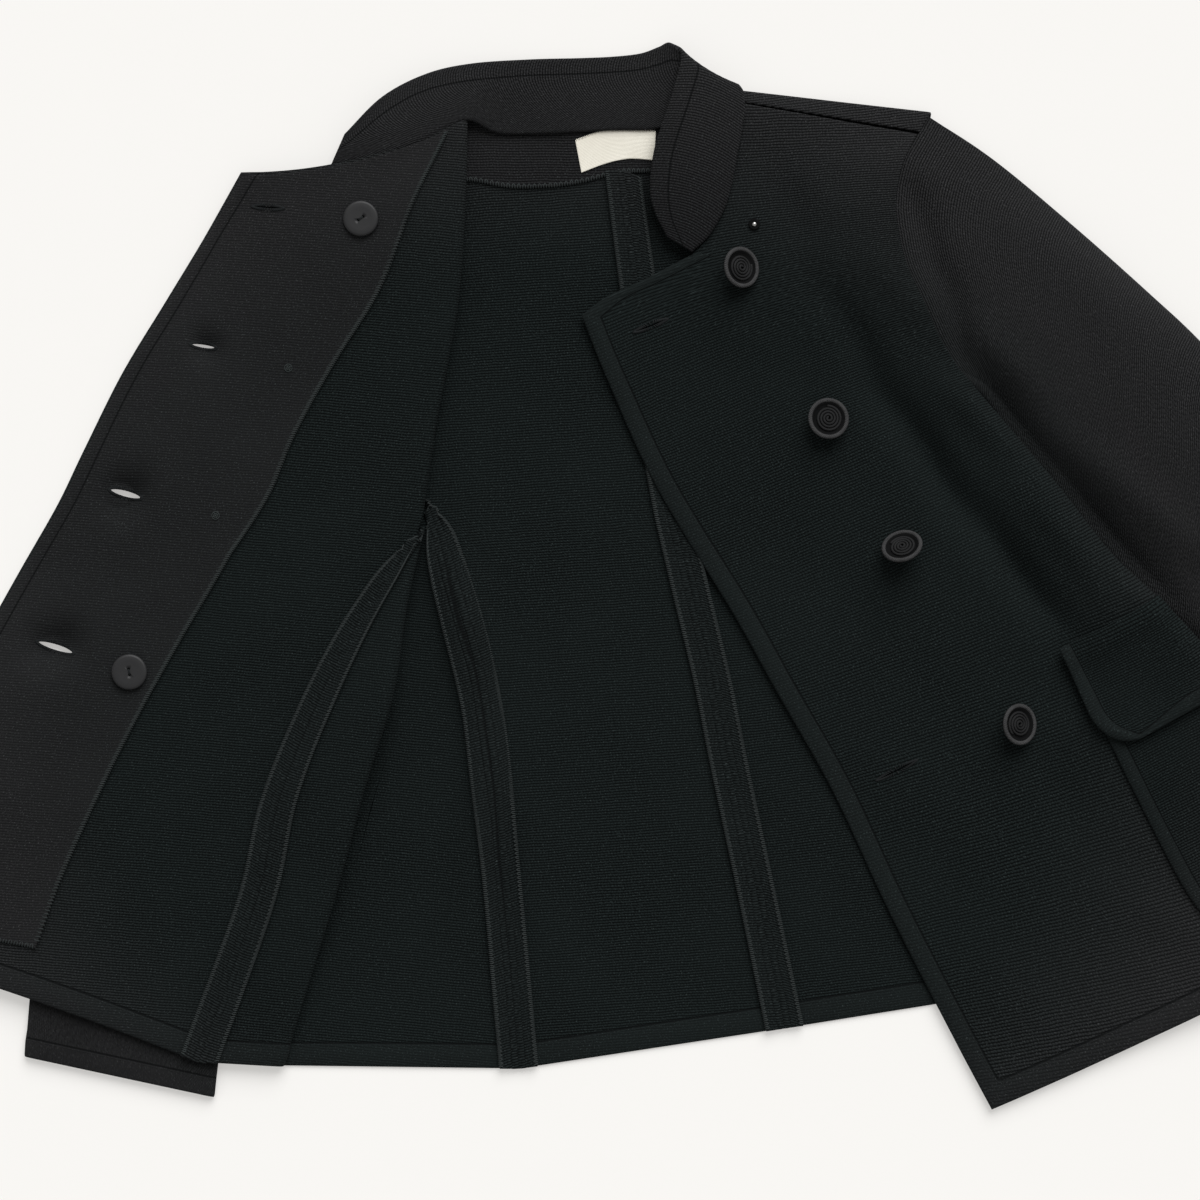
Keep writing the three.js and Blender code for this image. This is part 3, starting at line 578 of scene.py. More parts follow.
def across_turn(panel, row, start, end, u):
    """The place across a panel at u, where the columns past the share lie on its turn."""
    if hasattr(panel, "knee"):
        knee = np.minimum(panel.knee(row), end - 1)
    else:
        knee = start + (end - start) * TURN_SHARE
    before = start + (knee - start) * u / TURN_SHARE
    after = knee + (end - knee) * (u - TURN_SHARE) / (1 - TURN_SHARE)
    return np.where(u < TURN_SHARE, before, after)


def stretch(panel, first, last):
    """A stretch of a panel between two rows, half a gap in from its ends."""
    def at(u, v):
        row = first + (last - first) * v
        return panel.at(across_turn(panel, row, GAP / 2, panel.width(row) - GAP / 2, u), row)
    return at


def patch(panel, place):
    """A patch laid on a panel, with its lower near corner rounded."""
    def at(u, v):
        row = place["top"] + (place["bottom"] - place["top"]) * v
        if "width" in place:
            return panel.at(place["start"] + place["width"] * u, row)
        low = np.maximum(0, (v - ROUNDED_FROM) / (1 - ROUNDED_FROM))
        start = place["start"] + (1 - np.sqrt(np.maximum(0, 1 - low ** 2))) * place["corner"]
        return panel.at(across_turn(panel, row, start, panel.width(row) - place["end"], u), row)
    return at


def strip(near_side, far_side, start, length):
    """A strip of pressed-open seam allowance over the joint of two panels."""
    def at(u, v):
        offset = (u - 0.5) * SEAM_STRIP_WIDTH
        place = v * length + start
        near = near_side(np.maximum(-offset, 0), place)
        far = far_side(np.maximum(offset, 0), place)
        return np.where((offset < 0)[..., None], near, far)
    return at


def ends(rows, level=None):
    """A surface stretched between the near and far ends of a table's rows."""
    def at(u, v):
        row = between(rows, v * last(rows))
        x, y = part_way(row, u)
        z0, z1 = row.get("z0", level), row.get("z1", level)
        return np.stack([x, y, z0 + (z1 - z0) * u], -1)
    return at


def sleeve_half(rows, armhole, under, fullness, folds=None):
    """Half of a sleeve, whose edges meet the other half and whose first rows reach the armhole."""
    def on(row, side):
        height = THIN_CLOTH / 2 if under else row["top"]
        edge = SLEEVE_EDGE + (-GAP if under else GAP)
        bulge = np.sqrt(np.maximum(0, 1 - np.abs(side) ** fullness))
        x, y = part_way(row, (1 + side) / 2)
        return np.stack([x, y, edge + (height - edge) * bulge], -1)

    def at(u, v):
        place = v * last(rows)
        side = -np.cos(math.pi * u)
        point = on(between(rows, place), side)
        share = np.maximum(0, 1 - place / SLEEVE_CAP_ROWS) ** 2
        shift = armhole((1 + side) / 2) - on(between(rows, 0 * place), side)
        point = point + shift * share[..., None]
        if folds is not None:
            inward = np.clip((1 - np.abs(side)) * 6, 0, 1)
            lift = creased(folds, point[..., 0], point[..., 1])
            point[..., 2] += inward * (lift + ripple(point[..., 0], point[..., 1], 0.4))
        return point
    return at


def left_front_armhole(t):
    row = t * FRONT_LEFT_ARMPIT_ROW
    share = np.maximum(0, 1 - t / CAP_REACH)[..., None] ** 2
    edge = front_left.at(front_left.width(row), row) + [-GAP, 0, -CLOTH]
    return edge + share * CAP_OVER_SHOULDER


def left_back_armhole(t):
    span = BACK_LEFT_SIDE_ROW - BACK_LEFT_SHOULDER_ROW
    row = between(BACK_LEFT, BACK_LEFT_SHOULDER_ROW + t * span)
    return np.stack([row["x1"] - CLOTH, row["y1"], CLOTH + THIN_CLOTH + 0 * t], -1)


def right_turned_edge(t):
    row = t * FRONT_RIGHT_ARMPIT_ROW
    return front_right.at(front_right.width(row), row) - [3 * GAP, 0, 0]


def right_back_armhole(t):
    row = between(BACK_RIGHT, t * BACK_RIGHT_ARMPIT_ROW)
    return np.stack([row["x0"] - 3 * GAP, row["y0"], THIN_CLOTH / 2 + 0 * t], -1)


DETAIL = 1.0
RIM_STEPS = np.array([0, 0.25, 0.7, 1.5])


def spaced(count, width):
    """Shares across a width in millimetres, closer together at both rims."""
    rim = RIM_STEPS / width
    inner = np.linspace(rim[-1], 1 - rim[-1], max(4, int(count * DETAIL)))
    return np.concatenate([rim[:-1], inner, 1 - rim[-2::-1]])


def unit(vectors):
    return vectors / np.maximum(np.linalg.norm(vectors, axis=-1, keepdims=True), 1e-9)


def full_turn(count):
    """Evenly spaced angles round a circle."""
    return np.linspace(0, 2 * math.pi, count, endpoint=False)


def circling(reach, turns, high):
    """Points round Z, at a reach and a height."""
    return np.stack([reach * np.cos(turns), reach * np.sin(turns), high + 0 * turns], -1)


def new_mesh(name, points, faces, maps=None):
    """An object from points in millimetres. maps holds a pair of numbers for each point."""
    mesh = bpy.data.meshes.new(name)
    mesh.from_pydata(((points - ORIGIN) * MM).tolist(), [], faces)
    corners = np.zeros(len(mesh.loops), dtype=np.int32)
    mesh.loops.foreach_get("vertex_index", corners)
    for key, values in (maps or {}).items():
        layer = mesh.uv_layers.new(name=key)
        layer.data.foreach_set("uv", values[corners].astype(np.float32).ravel())
    mesh.polygons.foreach_set("use_smooth", np.ones(len(mesh.polygons), dtype=bool))
    mesh.update()
    made = bpy.data.objects.new(name, mesh)
    bpy.context.scene.collection.objects.link(made)
    return made


def lengths(points, axis):
    """How far along the axis each point of a grid lies, in millimetres."""
    steps = np.linalg.norm(np.diff(points, axis=axis), axis=-1)
    pad = [(1, 0) if k == axis else (0, 0) for k in range(2)]
    return np.pad(np.cumsum(steps, axis=axis), pad)


BAND_SWELL = 0.9


def nap_share(x, y):
    """How much painted light makes the cloth lighter and greyer: hardly in the garment's middle, more
    towards its edges.
    """
    oval = PAINTED_LIGHT_OVAL
    reach = ((x - oval["x"]) / oval["wide"]) ** 2 + ((y - oval["y"]) / oval["long"]) ** 2
    share = np.clip((reach - oval["from"]) / oval["over"], 0, 1)
    return share * share * (3 - 2 * share)


class Cloth:
    """A closed thin wall over a surface, with rounded rims, and where its points lie."""

    def __init__(
        self, name, at, count, thick,
        lift=0.0, ribs=None, bands=None, felt=True, band_from=0.0, nap=0.0,
    ):
        probe = at(*np.meshgrid(np.linspace(0, 1, 9), np.linspace(0, 1, 9)))
        wide = lengths(probe, 1)[:, -1].max()
        long = lengths(probe, 0)[-1].max()
        u, v = np.meshgrid(spaced(count[0], wide), spaced(count[1], long))
        middle = at(u, v)
        outward = unit(np.cross(np.gradient(middle, axis=0), np.gradient(middle, axis=1)))
        across, down = lengths(middle, 1), lengths(middle, 0)
        sides = {
            "near": across,
            "far": across[:, -1:] - across,
            "top": down,
            "bottom": down[-1:] - down,
        }
        rim = np.minimum.reduce(list(sides.values()))
        half = thick / 2 * np.sqrt(1 - (1 - np.clip(rim * 2 / thick, 0.04, 1)) ** 2)
        band = np.full(u.shape, NO_BAND)
        for side, width in (bands or {}).items():
            reach = sides[side] / width
            if side in ("near", "far"):
                reach = reach + NO_BAND * (v < band_from)
            band = np.minimum(band, reach)
        centre = middle + outward * lift
        swell = BAND_SWELL * np.sin(math.pi * np.clip(band, 0, 1)) * float(felt)
        self.top = centre + outward * (half + swell)[..., None]
        base = centre - outward * half[..., None]
        base[..., 2] = np.maximum(base[..., 2], 0)
        self.top[..., 2] = np.maximum(self.top[..., 2], 0)
        self.outward = outward
        self.flat = (float(across.max()) * MM, float(down.max()) * MM)
        a, b = np.diff(middle, axis=1)[:-1], np.diff(middle, axis=0)[:, :-1]
        self.area = float(np.linalg.norm(np.cross(a, b), axis=-1).sum()) * MM ** 2
        if ribs is None:
            run = down
        elif callable(ribs):
            run = ribs(middle[..., 0], middle[..., 1])
        else:
            angle = math.radians(ribs)
            run = middle[..., 1] * math.cos(angle) - middle[..., 0] * math.sin(angle)
        weave = np.stack([across, run], -1) * MM
        edge = np.stack([band, 0 * band + float(felt)], -1)
        # Painted light: the oval's share plus this sheet's offset. A negative offset keeps a sheet
        # darker as painted shade.
        nap = np.clip(nap_share(middle[..., 0], middle[..., 1]) + nap, 0, 1)
        nap = np.stack([nap, 0 * band], -1)
        self.object = new_mesh(
            name,
            np.concatenate([self.top.reshape(-1, 3), base.reshape(-1, 3)]),
            wall_faces(u.shape[0] - 1, u.shape[1] - 1),
            {
                "weave": np.tile(weave.reshape(-1, 2), (2, 1)),
                "edge": np.tile(edge.reshape(-1, 2), (2, 1)),
                "nap": np.tile(nap.reshape(-1, 2), (2, 1)),
            },
        )

    def level(self, x, y):
        """The upper face's height at a place in plan, from the nearest points."""
        miss = (self.top[..., 0] - x) ** 2 + (self.top[..., 1] - y) ** 2
        near = np.unravel_index(np.argsort(miss, axis=None)[:4], miss.shape)
        weight = 1 / (miss[near] + 1e-6)
        return float((self.top[near][:, 2] * weight).sum() / weight.sum())


def wall_faces(rows, columns):
    """The quads of a closed wall over a grid."""
    across = columns + 1
    under = (rows + 1) * across
    j, i = (part.ravel() for part in np.meshgrid(np.arange(rows), np.arange(columns), indexing="ij"))
    a = j * across + i
    b, c, d = a + across, a + across + 1, a + 1
    faces = [np.stack([a, b, c, d], -1), np.stack([a, d, c, b], -1) + under]
    rims = (
        (j == 0, a, d), (j == rows - 1, c, b), (i == 0, b, a), (i == columns - 1, d, c),
    )
    for rim, p, q in rims:
        p, q = p[rim], q[rim]
        faces.append(np.stack([p, q, q + under, p + under], -1))
    return np.concatenate(faces).tolist()


def along_slit(x0, y0, x1, y1):
    """A slit's length, the ways along and beside it, and its middle."""
    run = math.hypot(x1 - x0, y1 - y0)
    ahead = np.array([x1 - x0, y1 - y0, 0]) / run
    return run, ahead, beside(ahead), np.array([(x0 + x1) / 2, (y0 + y1) / 2, 0])


def beside(ahead):
    return np.array([-ahead[1], ahead[0], 0])


def cut_slits(piece, slits):
    """Cuts slender openings right through a piece."""
    for *places, width in slits:
        run, ahead, sideways, middle = along_slit(*places)
        turns = full_turn(28)[:, None]
        aside = np.sin(turns) * np.abs(np.sin(turns)) ** 0.35
        ring = middle + ahead * np.cos(turns) * run / 2 + sideways * aside * width / 2
        points = np.concatenate([ring - UP * 5, ring + UP * 40])
        count = len(ring)
        faces = [[k, (k + 1) % count, (k + 1) % count + count, k + count] for k in range(count)]
        faces += [list(range(count))[::-1], list(range(count, 2 * count))]
        carve(piece, new_mesh("knife", points, faces))


def carve(made, knife):
    """Takes the knife's solid out of an object and removes the knife."""
    cut = made.modifiers.new("cut", "BOOLEAN")
    cut.object = knife
    cut.operation = "DIFFERENCE"
    bpy.context.view_layer.update()
    whole = made.evaluated_get(bpy.context.evaluated_depsgraph_get())
    carved = bpy.data.meshes.new_from_object(whole)
    made.modifiers.clear()
    made.data = carved
    bpy.data.objects.remove(knife)


def tubes(name, paths, radius, sides=5, normals=UP):
    """Many tubes as one mesh: paths is an array of tubes, points and coordinates."""
    paths = np.asarray(paths, float)
    count, knots = paths.shape[:2]
    ahead = unit(np.gradient(paths, axis=1))
    aside = unit(np.cross(ahead, np.broadcast_to(normals, paths.shape)))
    above = np.cross(aside, ahead)
    turns = full_turn(sides)[:, None]
    ring = aside[:, :, None] * np.cos(turns) + above[:, :, None] * np.sin(turns)
    points = paths[:, :, None] + ring * radius
    n, k, m = np.meshgrid(np.arange(count), np.arange(knots - 1), np.arange(sides), indexing="ij")
    first = (n * knots + k) * sides
    a, b = first + m, first + (m + 1) % sides
    faces = np.stack([a, b, b + sides, a + sides], -1).reshape(-1, 4).tolist()
    caps = np.arange(count)[:, None] * knots * sides + np.arange(sides)
    faces += caps[:, ::-1].tolist() + (caps + (knots - 1) * sides).tolist()
    return new_mesh(name, points.reshape(-1, 3), faces)


RIB_PITCH = 0.00175
STITCH_LENGTH = 0.0021


class Shader:
    """A material put together from nodes."""

    def __init__(self, name):
        self.material = bpy.data.materials.new(name)
        self.material.use_nodes = True
        self.tree = self.material.node_tree
        self.tree.nodes.clear()

    def node(self, kind, inputs=None, **settings):
        made = self.tree.nodes.new(kind)
        for key, value in settings.items():
            setattr(made, key, value)
        for key, value in (inputs or {}).items():
            if isinstance(value, bpy.types.NodeSocket):
                self.tree.links.new(value, made.inputs[key])
            else:
                made.inputs[key].default_value = value
        return made

    def math(self, operation, a, b=0.0, c=0.0):
        return self.node("ShaderNodeMath", {0: a, 1: b, 2: c}, operation=operation).outputs[0]

    def times(self, a, b):
        return self.math("MULTIPLY", a, b)

    def plus(self, a, b):
        return self.math("ADD", a, b)

    def less(self, a, b):
        return self.math("SUBTRACT", a, b)

    def smooth(self, value, low, high):
        inputs = {"Value": value, "From Min": low, "From Max": high}
        kind = "ShaderNodeMapRange"
        return self.node(kind, inputs, interpolation_type="SMOOTHSTEP").outputs["Result"]

    def wave(self, value):
        """One hump of a sine over each whole number."""
        return self.math("SINE", self.times(self.math("FRACT", value), math.pi))

    def line(self, value, at, outer, inner):
        """One where the value is within a distance of a place, fading out to nought."""
        return self.smooth(self.math("ABSOLUTE", self.less(value, at)), outer, inner)

    def uv(self, name):
        layer = self.node("ShaderNodeUVMap", uv_map=name).outputs[0]
        parts = self.node("ShaderNodeSeparateXYZ", {0: layer})
        return layer, parts.outputs[0], parts.outputs[1]

    def noise(self, where, scale, detail=2.0, rough=0.5):
        inputs = {"Vector": where, "Scale": scale, "Detail": detail, "Roughness": rough}
        return self.node("ShaderNodeTexNoise", inputs).outputs[0]

    def mix(self, share, a, b):
        return self.node("ShaderNodeMix", {0: share, 6: a, 7: b}, data_type="RGBA").outputs[2]

    def bump(self, height, depth, strength=1.0):
        inputs = {"Height": height, "Distance": depth, "Strength": strength}
        return self.node("ShaderNodeBump", inputs).outputs[0]

    def finish(self, colour, rough, normal, extras):
        inputs = {"Base Color": colour, "Roughness": rough, "Normal": normal}
        shader = self.node("ShaderNodeBsdfPrincipled", {**inputs, **extras})
        self.node("ShaderNodeOutputMaterial", {0: shader.outputs[0]})
        return self.material


def rgb(red, green, blue):
    return (red, green, blue, 1.0)


def knit_material(name, groove, ridge, felt, sheen, plain=0.0):
    """Fine ribs across the cloth, each broken into stitches, with plain felted bands."""
    s = Shader(name)
    weave, across, along = s.uv("weave")
    _, band, felted = s.uv("edge")
    _, nap, _ = s.uv("nap")
    # Painted light: where its share is high, the grooves, ridges and felt turn lighter and greyer.
    groove = s.mix(nap, groove, rgb(0.0024, 0.0024, 0.0026))
    ridge = s.mix(nap, ridge, rgb(0.0235, 0.0238, 0.0248))
    felt = s.mix(nap, felt, rgb(0.0165, 0.0167, 0.0174))

    wander = s.times(s.less(s.noise(weave, 55.0), 0.5), 0.0016)
    row = s.math("DIVIDE", s.plus(along, wander), RIB_PITCH)
    number = s.math("FLOOR", row)
    chance = s.node("ShaderNodeTexWhiteNoise", {"W": number}, noise_dimensions="1D").outputs[0]
    jitter = s.times(s.noise(weave, 400.0), 1.4)
    place = s.plus(s.math("DIVIDE", across, STITCH_LENGTH), s.plus(chance, jitter))
    worn = s.noise(weave, 700.0, 3.0, 0.7)
    broken = s.math("MULTIPLY_ADD", s.wave(place), 0.5, 0.5)
    height = s.times(s.times(s.wave(row), broken), s.plus(worn, 0.5))
    fuzz = s.noise(weave, 2600.0, 2.0, 0.8)

    # A band is felted up to its width, ends in a groove that is painted darker as painted shade, and has
    # a line of stitches before it.
    on_band = s.times(s.smooth(band, 1.02, 0.98), s.times(felted, 0.6))
    on_band = s.math("MAXIMUM", on_band, plain)
    groove_line = s.line(band, 1.0, 0.075, 0.02)
    dash = s.smooth(s.math("PINGPONG", s.plus(across, along), 0.0017), 0.0004, 0.0008)
    stitch_line = s.times(s.times(s.line(band, 0.9, 0.04, 0.0), dash), felted)

    # Painted shade: the rib grooves take the near-black groove colour and the ridges the lighter one;
    # the bump gives their relief.
    knit_colour = s.mix(s.smooth(height, 0.2, 0.8), groove, ridge)
    felt_share = s.math("MULTIPLY_ADD", fuzz, 0.9, s.times(worn, 0.3))
    colour = s.mix(on_band, knit_colour, s.mix(felt_share, groove, felt))
    fleck = s.times(s.smooth(s.noise(weave, 1000.0, 1.0), 0.6, 0.74), 0.7)
    # The flecks turn greyer under the painted light too.
    fleck_colour = s.mix(nap, rgb(0.033, 0.044, 0.044), rgb(0.062, 0.062, 0.064))
    colour = s.mix(fleck, colour, fleck_colour)
    cloud = s.smooth(s.noise(weave, 9.0, 3.0), 0.3, 0.7)
    colour = s.mix(s.times(cloud, 0.25), colour, ridge)
    # Painted shade: the groove at the band's edge is painted darker.
    colour = s.mix(s.times(groove_line, 0.75), colour, rgb(0.0018, 0.0022, 0.0024))
    colour = s.mix(s.times(stitch_line, 0.5), colour, felt)

    felt_height = s.math("MULTIPLY_ADD", fuzz, 0.35, 0.45)
    mixed = s.plus(s.times(height, s.less(1.0, on_band)), s.times(felt_height, on_band))
    mixed = s.plus(s.less(mixed, s.times(groove_line, 0.7)), s.times(stitch_line, 0.4))
    return s.finish(colour, 0.92, s.bump(mixed, 0.0006, 0.9), {
        "Specular IOR Level": 0.08,
        "Sheen Weight": sheen,
        "Sheen Roughness": 0.45,
        "Sheen Tint": rgb(0.55, 0.6, 0.62),
    })


def plain_material(name, dark, light, scale, depth, rough, shine=0.5, **extras):
    """A plain surface whose colour and relief follow fine noise."""
    s = Shader(name)
    where = s.node("ShaderNodeTexCoord").outputs["Object"]
    grain = s.noise(where, scale, 3.0, 0.65)
    cloud = s.noise(where, scale / 12, 2.0)
    share = s.math("MULTIPLY_ADD", cloud, 0.5, s.times(grain, 0.5))
    extras["Specular IOR Level"] = shine
    return s.finish(s.mix(share, dark, light), rough, s.bump(grain, depth, 0.7), extras)


def label_material():
    """Closely woven satin tape."""
    s = Shader("label_cloth")
    weave, across, along = s.uv("weave")
    warp = s.math("SINE", s.times(across, 2 * math.pi / 0.0006))
    weft = s.math("SINE", s.times(along, 2 * math.pi / 0.0009))
    height = s.math("MULTIPLY_ADD", warp, 0.5, s.times(weft, 0.5))
    share = s.math("MULTIPLY_ADD", height, 0.25, s.noise(weave, 40.0))
    colour = s.mix(share, rgb(0.71, 0.67, 0.57), rgb(0.93, 0.9, 0.8))
    return s.finish(colour, 0.6, s.bump(height, 0.0002, 0.5), {"Sheen Weight": 0.2})


# A knit has the colours of its grooves, ridges and felt, then its sheen and how plain it is.
# The grooves' far darker colour is painted shade on the ribs.
KNIT = knit_material(
    "rib_knit", rgb(0.0006, 0.0009, 0.0009), rgb(0.0096, 0.0138, 0.0138),
    rgb(0.0135, 0.0172, 0.0172), 0.02,
)
COLLAR_KNIT = knit_material(
    "collar_knit", rgb(0.0036, 0.0036, 0.004), rgb(0.0128, 0.0128, 0.0138),
    rgb(0.0125, 0.0125, 0.0134), 0.03,
)
BAND = knit_material(
    "facing_knit", rgb(0.0012, 0.0015, 0.0016), rgb(0.0138, 0.0162, 0.0166),
    rgb(0.0135, 0.0142, 0.0148), 0.02, 0.6,
)
# A plain surface has a dark and a light colour, the scale and depth of its grain, its roughness
# and its shine.
THREAD = plain_material(
    "overlock_thread", rgb(0.009, 0.0118, 0.0118), rgb(0.036, 0.044, 0.044), 900.0, 0.0002, 0.85, 0.3,
)
DARK_THREAD = plain_material(
    "dark_thread", rgb(0.004, 0.005, 0.0055), rgb(0.014, 0.016, 0.017), 900.0, 0.0002, 0.9, 0.2,
)
LABEL_THREAD = plain_material(
    "label_thread", rgb(0.55, 0.52, 0.45), rgb(0.75, 0.72, 0.64), 900.0, 0.0001, 0.7,
)
# Painted shade: the near-black tube laid along a shut buttonhole's slit.
PAINTED_SLIT_SHADE = plain_material(
    "buttonhole_painted_shade", rgb(0.0006, 0.0007, 0.0008), rgb(0.001, 0.0011, 0.0012), 900.0, 0.0001, 1.0, 0.0,
)
CORD = plain_material(
    "button_cord", rgb(0.002, 0.0021, 0.0023), rgb(0.088, 0.088, 0.09), 1500.0, 0.0012, 0.75, 0.2,
)
BUTTON_CORE = plain_material(
    "button_core", rgb(0.001, 0.0011, 0.0012), rgb(0.004, 0.0042, 0.0045), 900.0, 0.0004, 0.85, 0.1,
)
SPIRAL_CORD = plain_material(
    "spiral_cord", rgb(0.002, 0.0021, 0.0023), rgb(0.021, 0.0215, 0.0225), 1300.0, 0.0006, 0.8, 0.2,
)
HORN = plain_material(
    "flat_button_horn", rgb(0.008, 0.0082, 0.009), rgb(0.016, 0.0163, 0.0175), 160.0, 0.00005, 0.5, 0.35,
)
STUD = plain_material(
    "stud_metal", rgb(0.3, 0.3, 0.3), rgb(0.62, 0.61, 0.59), 300.0, 0.00004, 0.32, Metallic=1.0,
)
LABEL_CLOTH_MATERIAL = label_material()
# The floor gives off some light of its own, like a white table that is lit from beneath.
FLOOR = plain_material(
    "studio_floor", rgb(0.49, 0.483, 0.47), rgb(0.5, 0.493, 0.48), 30.0, 0.00002, 0.9, 0.1,
    **{"Emission Color": rgb(1.0, 0.985, 0.96), "Emission Strength": 0.42},
)


def attach(made, paint, node=None):
    """Gives a piece its material and its body, and hides the solid it stands for."""
    made.data.materials.clear()
    made.data.materials.append(paint)
    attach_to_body(made, "root")
    if node:
        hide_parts(node)
    return made


CLOTHS = {}
ON_FLOOR = ["studio_floor"]
ON_BACK = ["back_right_cloth", "back_left_cloth"]


def cloth(
    node, at, count, rests_on=ON_FLOOR,
    thick=CLOTH, paint=KNIT, slot="knit", slits=(), **details,
):
    """A sheet of cloth on the form of its own solid."""
    made = Cloth(node + "_cloth", at, count, thick, **details)
    cut_slits(made.object, slits)
    attach(made.object, paint, node)
    CLOTHS[node] = made
    return made


# Buttonholes as slits: both ends in plan, then the width of the opening where one is open. The
# front under the facing is cut wider, so that the ground shows through.
OPEN_SLITS = [
    (-262, 164.3, -247.5, 162.0, 2.0),
    (-315, 71, -295.5, 65.8, 3.6),
    (-361.5, -27, -339, -33.8, 3.6),
]
WIDER_SLITS = [(x0 - 2, y0, x1 + 2, y1, width + 6) for x0, y0, x1, y1, width in OPEN_SLITS]
SHUT_SLITS_RIGHT = [(-222, 252.5, -204, 251)]
SHUT_SLITS_LEFT = [(23, 172.5, 42, 180), (179, -115.5, 202.5, -103.5)]
SHUT_WIDTH = 1.2

# The collar's seam edge reaches on by a share of its width, and further at the opened front.
SEAM_REACH = 0.035
OPENED_REACH = 0.11
OPENED_DROP = 2.5

# The facing's overlocked inner edge stands up by so much, over so much of its width.
EDGE_RISE = 1.3
EDGE_WIDTH = 3

# The back's side edge runs on under the side panel's point, by so much round this row.
TUCK = {"row": 3.3, "spread": 0.35, "reach": 18}


def left_front_ribs(x, y):
    """The ribs rise to the right, most at the chest, less at the hem and least at the shoulder."""
    level_out = 1 / (1 + np.exp(-(y - 225) / 35))
    return 0.93 * y - x * (0.35 + 0.0006 * (y - 50)) + 0.52 * (x - 60) * level_out


def add_cloths():
    def tucked(u, v):
        row = v * last(BACK_RIGHT)
        under = TUCK["reach"] * np.exp(-((row - TUCK["row"]) / TUCK["spread"]) ** 2)
        return back_right.at(-under + (back_right.width(row) - GAP / 2 + under) * u, row)

    def opened(u, v):
        row = v * last(SIDE_RIGHT)
        first = side_right.front_share(GAP / 2, row)
        return side_right.at(first + (side_right.back_share(GAP / 2, row) - first) * u, row)

    def facing(u, v):
        place = FACING_RIGHT
        row = place["top"] + (place["bottom"] - place["top"]) * v
        point = front_right.at(place["start"] + place["width"] * u, row)
        point[..., 2] += EDGE_RISE * np.exp(-((1 - u) * place["width"] / EDGE_WIDTH) ** 2)
        return point

    collar = ends(COLLAR)

    def sewn_in(u, v):
        """The collar's seam edge reaches under the front, further and lower at the opened one."""
        place = 1 - v
        opened_front = np.clip(3 - place * last(COLLAR), 0, 1)
        reach = SEAM_REACH + OPENED_REACH * opened_front
        across = u * (1 + reach)
        point = collar(across - reach, place)
        point[..., 2] -= OPENED_DROP * opened_front * np.clip(1 - across / reach, 0, 1)
        return point

    hem = {"bottom": HEM_BAND}
    front_edges = {"near": FRONT_BAND, "bottom": HEM_BAND}
    cloth("back_right", tucked, (60, 170), ribs=4, bands=hem)
    cloth("back_left", stretch(back_left, 0, last(BACK_LEFT)), (54, 160), ribs=7, bands=hem)
    cloth("side_right", opened, (90, 130), ribs=-6, bands=hem)
    folded = stretch(side_left, 0, last(FRONT_LEFT) - FRONT_LEFT_ROLL_ROW)
    cloth("side_left", folded, (50, 110))
    cloth(
        "front_right", stretch(front_right, 0, last(FRONT_RIGHT)), (130, 190),
        ["side_right_cloth", "sleeve_right_upper_cloth"],
        ribs=-5, bands=front_edges, slits=WIDER_SLITS,
    )
    cloth(
        "front_left", stretch(front_left, -0.02, last(FRONT_LEFT)), (140, 230),
        ["back_left_cloth", "side_left_cloth"],
        ribs=left_front_ribs, bands=front_edges, band_from=4.0 / last(FRONT_LEFT),
    )
    cloth(
        "facing_right", facing, (80, 230), ["front_right_cloth"], THIN_CLOTH, BAND, "band",
        OPEN_SLITS, lift=CLOTH / 2 + GAP + THIN_CLOTH / 2, ribs=-4, bands={"near": FACING_BAND},
        # Extra painted light lightens the facing.
        nap=0.4,
    )
    cloth(
        "collar", sewn_in, (34, 220), ON_BACK, COLLAR_CLOTH, COLLAR_KNIT,
        bands={"far": COLLAR_BAND}, felt=False,
    )
    level = CLOTH + GAP + THIN_CLOTH / 2
    neck = ends(NECK_FACING, level)
    cloth(
        "neck_facing", lambda u, v: neck(v, u), (90, 18), ON_BACK, THIN_CLOTH, COLLAR_KNIT, "band",
        ribs=0,
    )
    label = ends(LABEL, level + THIN_CLOTH / 2 + GAP + LABEL_CLOTH / 2)
    cloth(
        "label", lambda u, v: label(v, u), (40, 16), ["neck_facing_cloth"],
        LABEL_CLOTH, LABEL_CLOTH_MATERIAL, "label",
    )


# A side strip starts as a tip, which is so much narrower and so long a share of its length.
TIP = 0.86
TIP_LENGTH = 0.055
SEAM_GROOVE = {"depth": 1.6, "width": 1.3}
SIDE_GROOVE = {"depth": 0.8, "width": 0.9, "place": 4.4}
STRIP_RISE = 1.0
STRIP_EDGE_RISE = 0.9


def far_of(panel, first):
    return lambda s, v: panel.at(panel.width(first + v) - s, first + v)


def near_of(panel, first):
    return lambda s, v: panel.at(s, first + v)


def seamed(shape, tip):
    """A strip that starts as a tip, dips at the seam and at two more grooves, and has raised edges."""
    def at(u, v):
        u = 0.5 + (u - 0.5) * (1 - tip * np.exp(-(v / TIP_LENGTH) ** 2))
        point = shape(u, v)
        offset = np.abs(u - 0.5) * SEAM_STRIP_WIDTH
        seam = SEAM_GROOVE["depth"] * np.exp(-(offset / SEAM_GROOVE["width"]) ** 2)
        aside = (offset - SIDE_GROOVE["place"]) / SIDE_GROOVE["width"]
        groove = SIDE_GROOVE["depth"] * np.exp(-aside ** 2)
        raised = STRIP_EDGE_RISE * (offset / (SEAM_STRIP_WIDTH / 2)) ** 4
        point[..., 2] += STRIP_RISE - (seam + groove) + raised
        return point
    return at


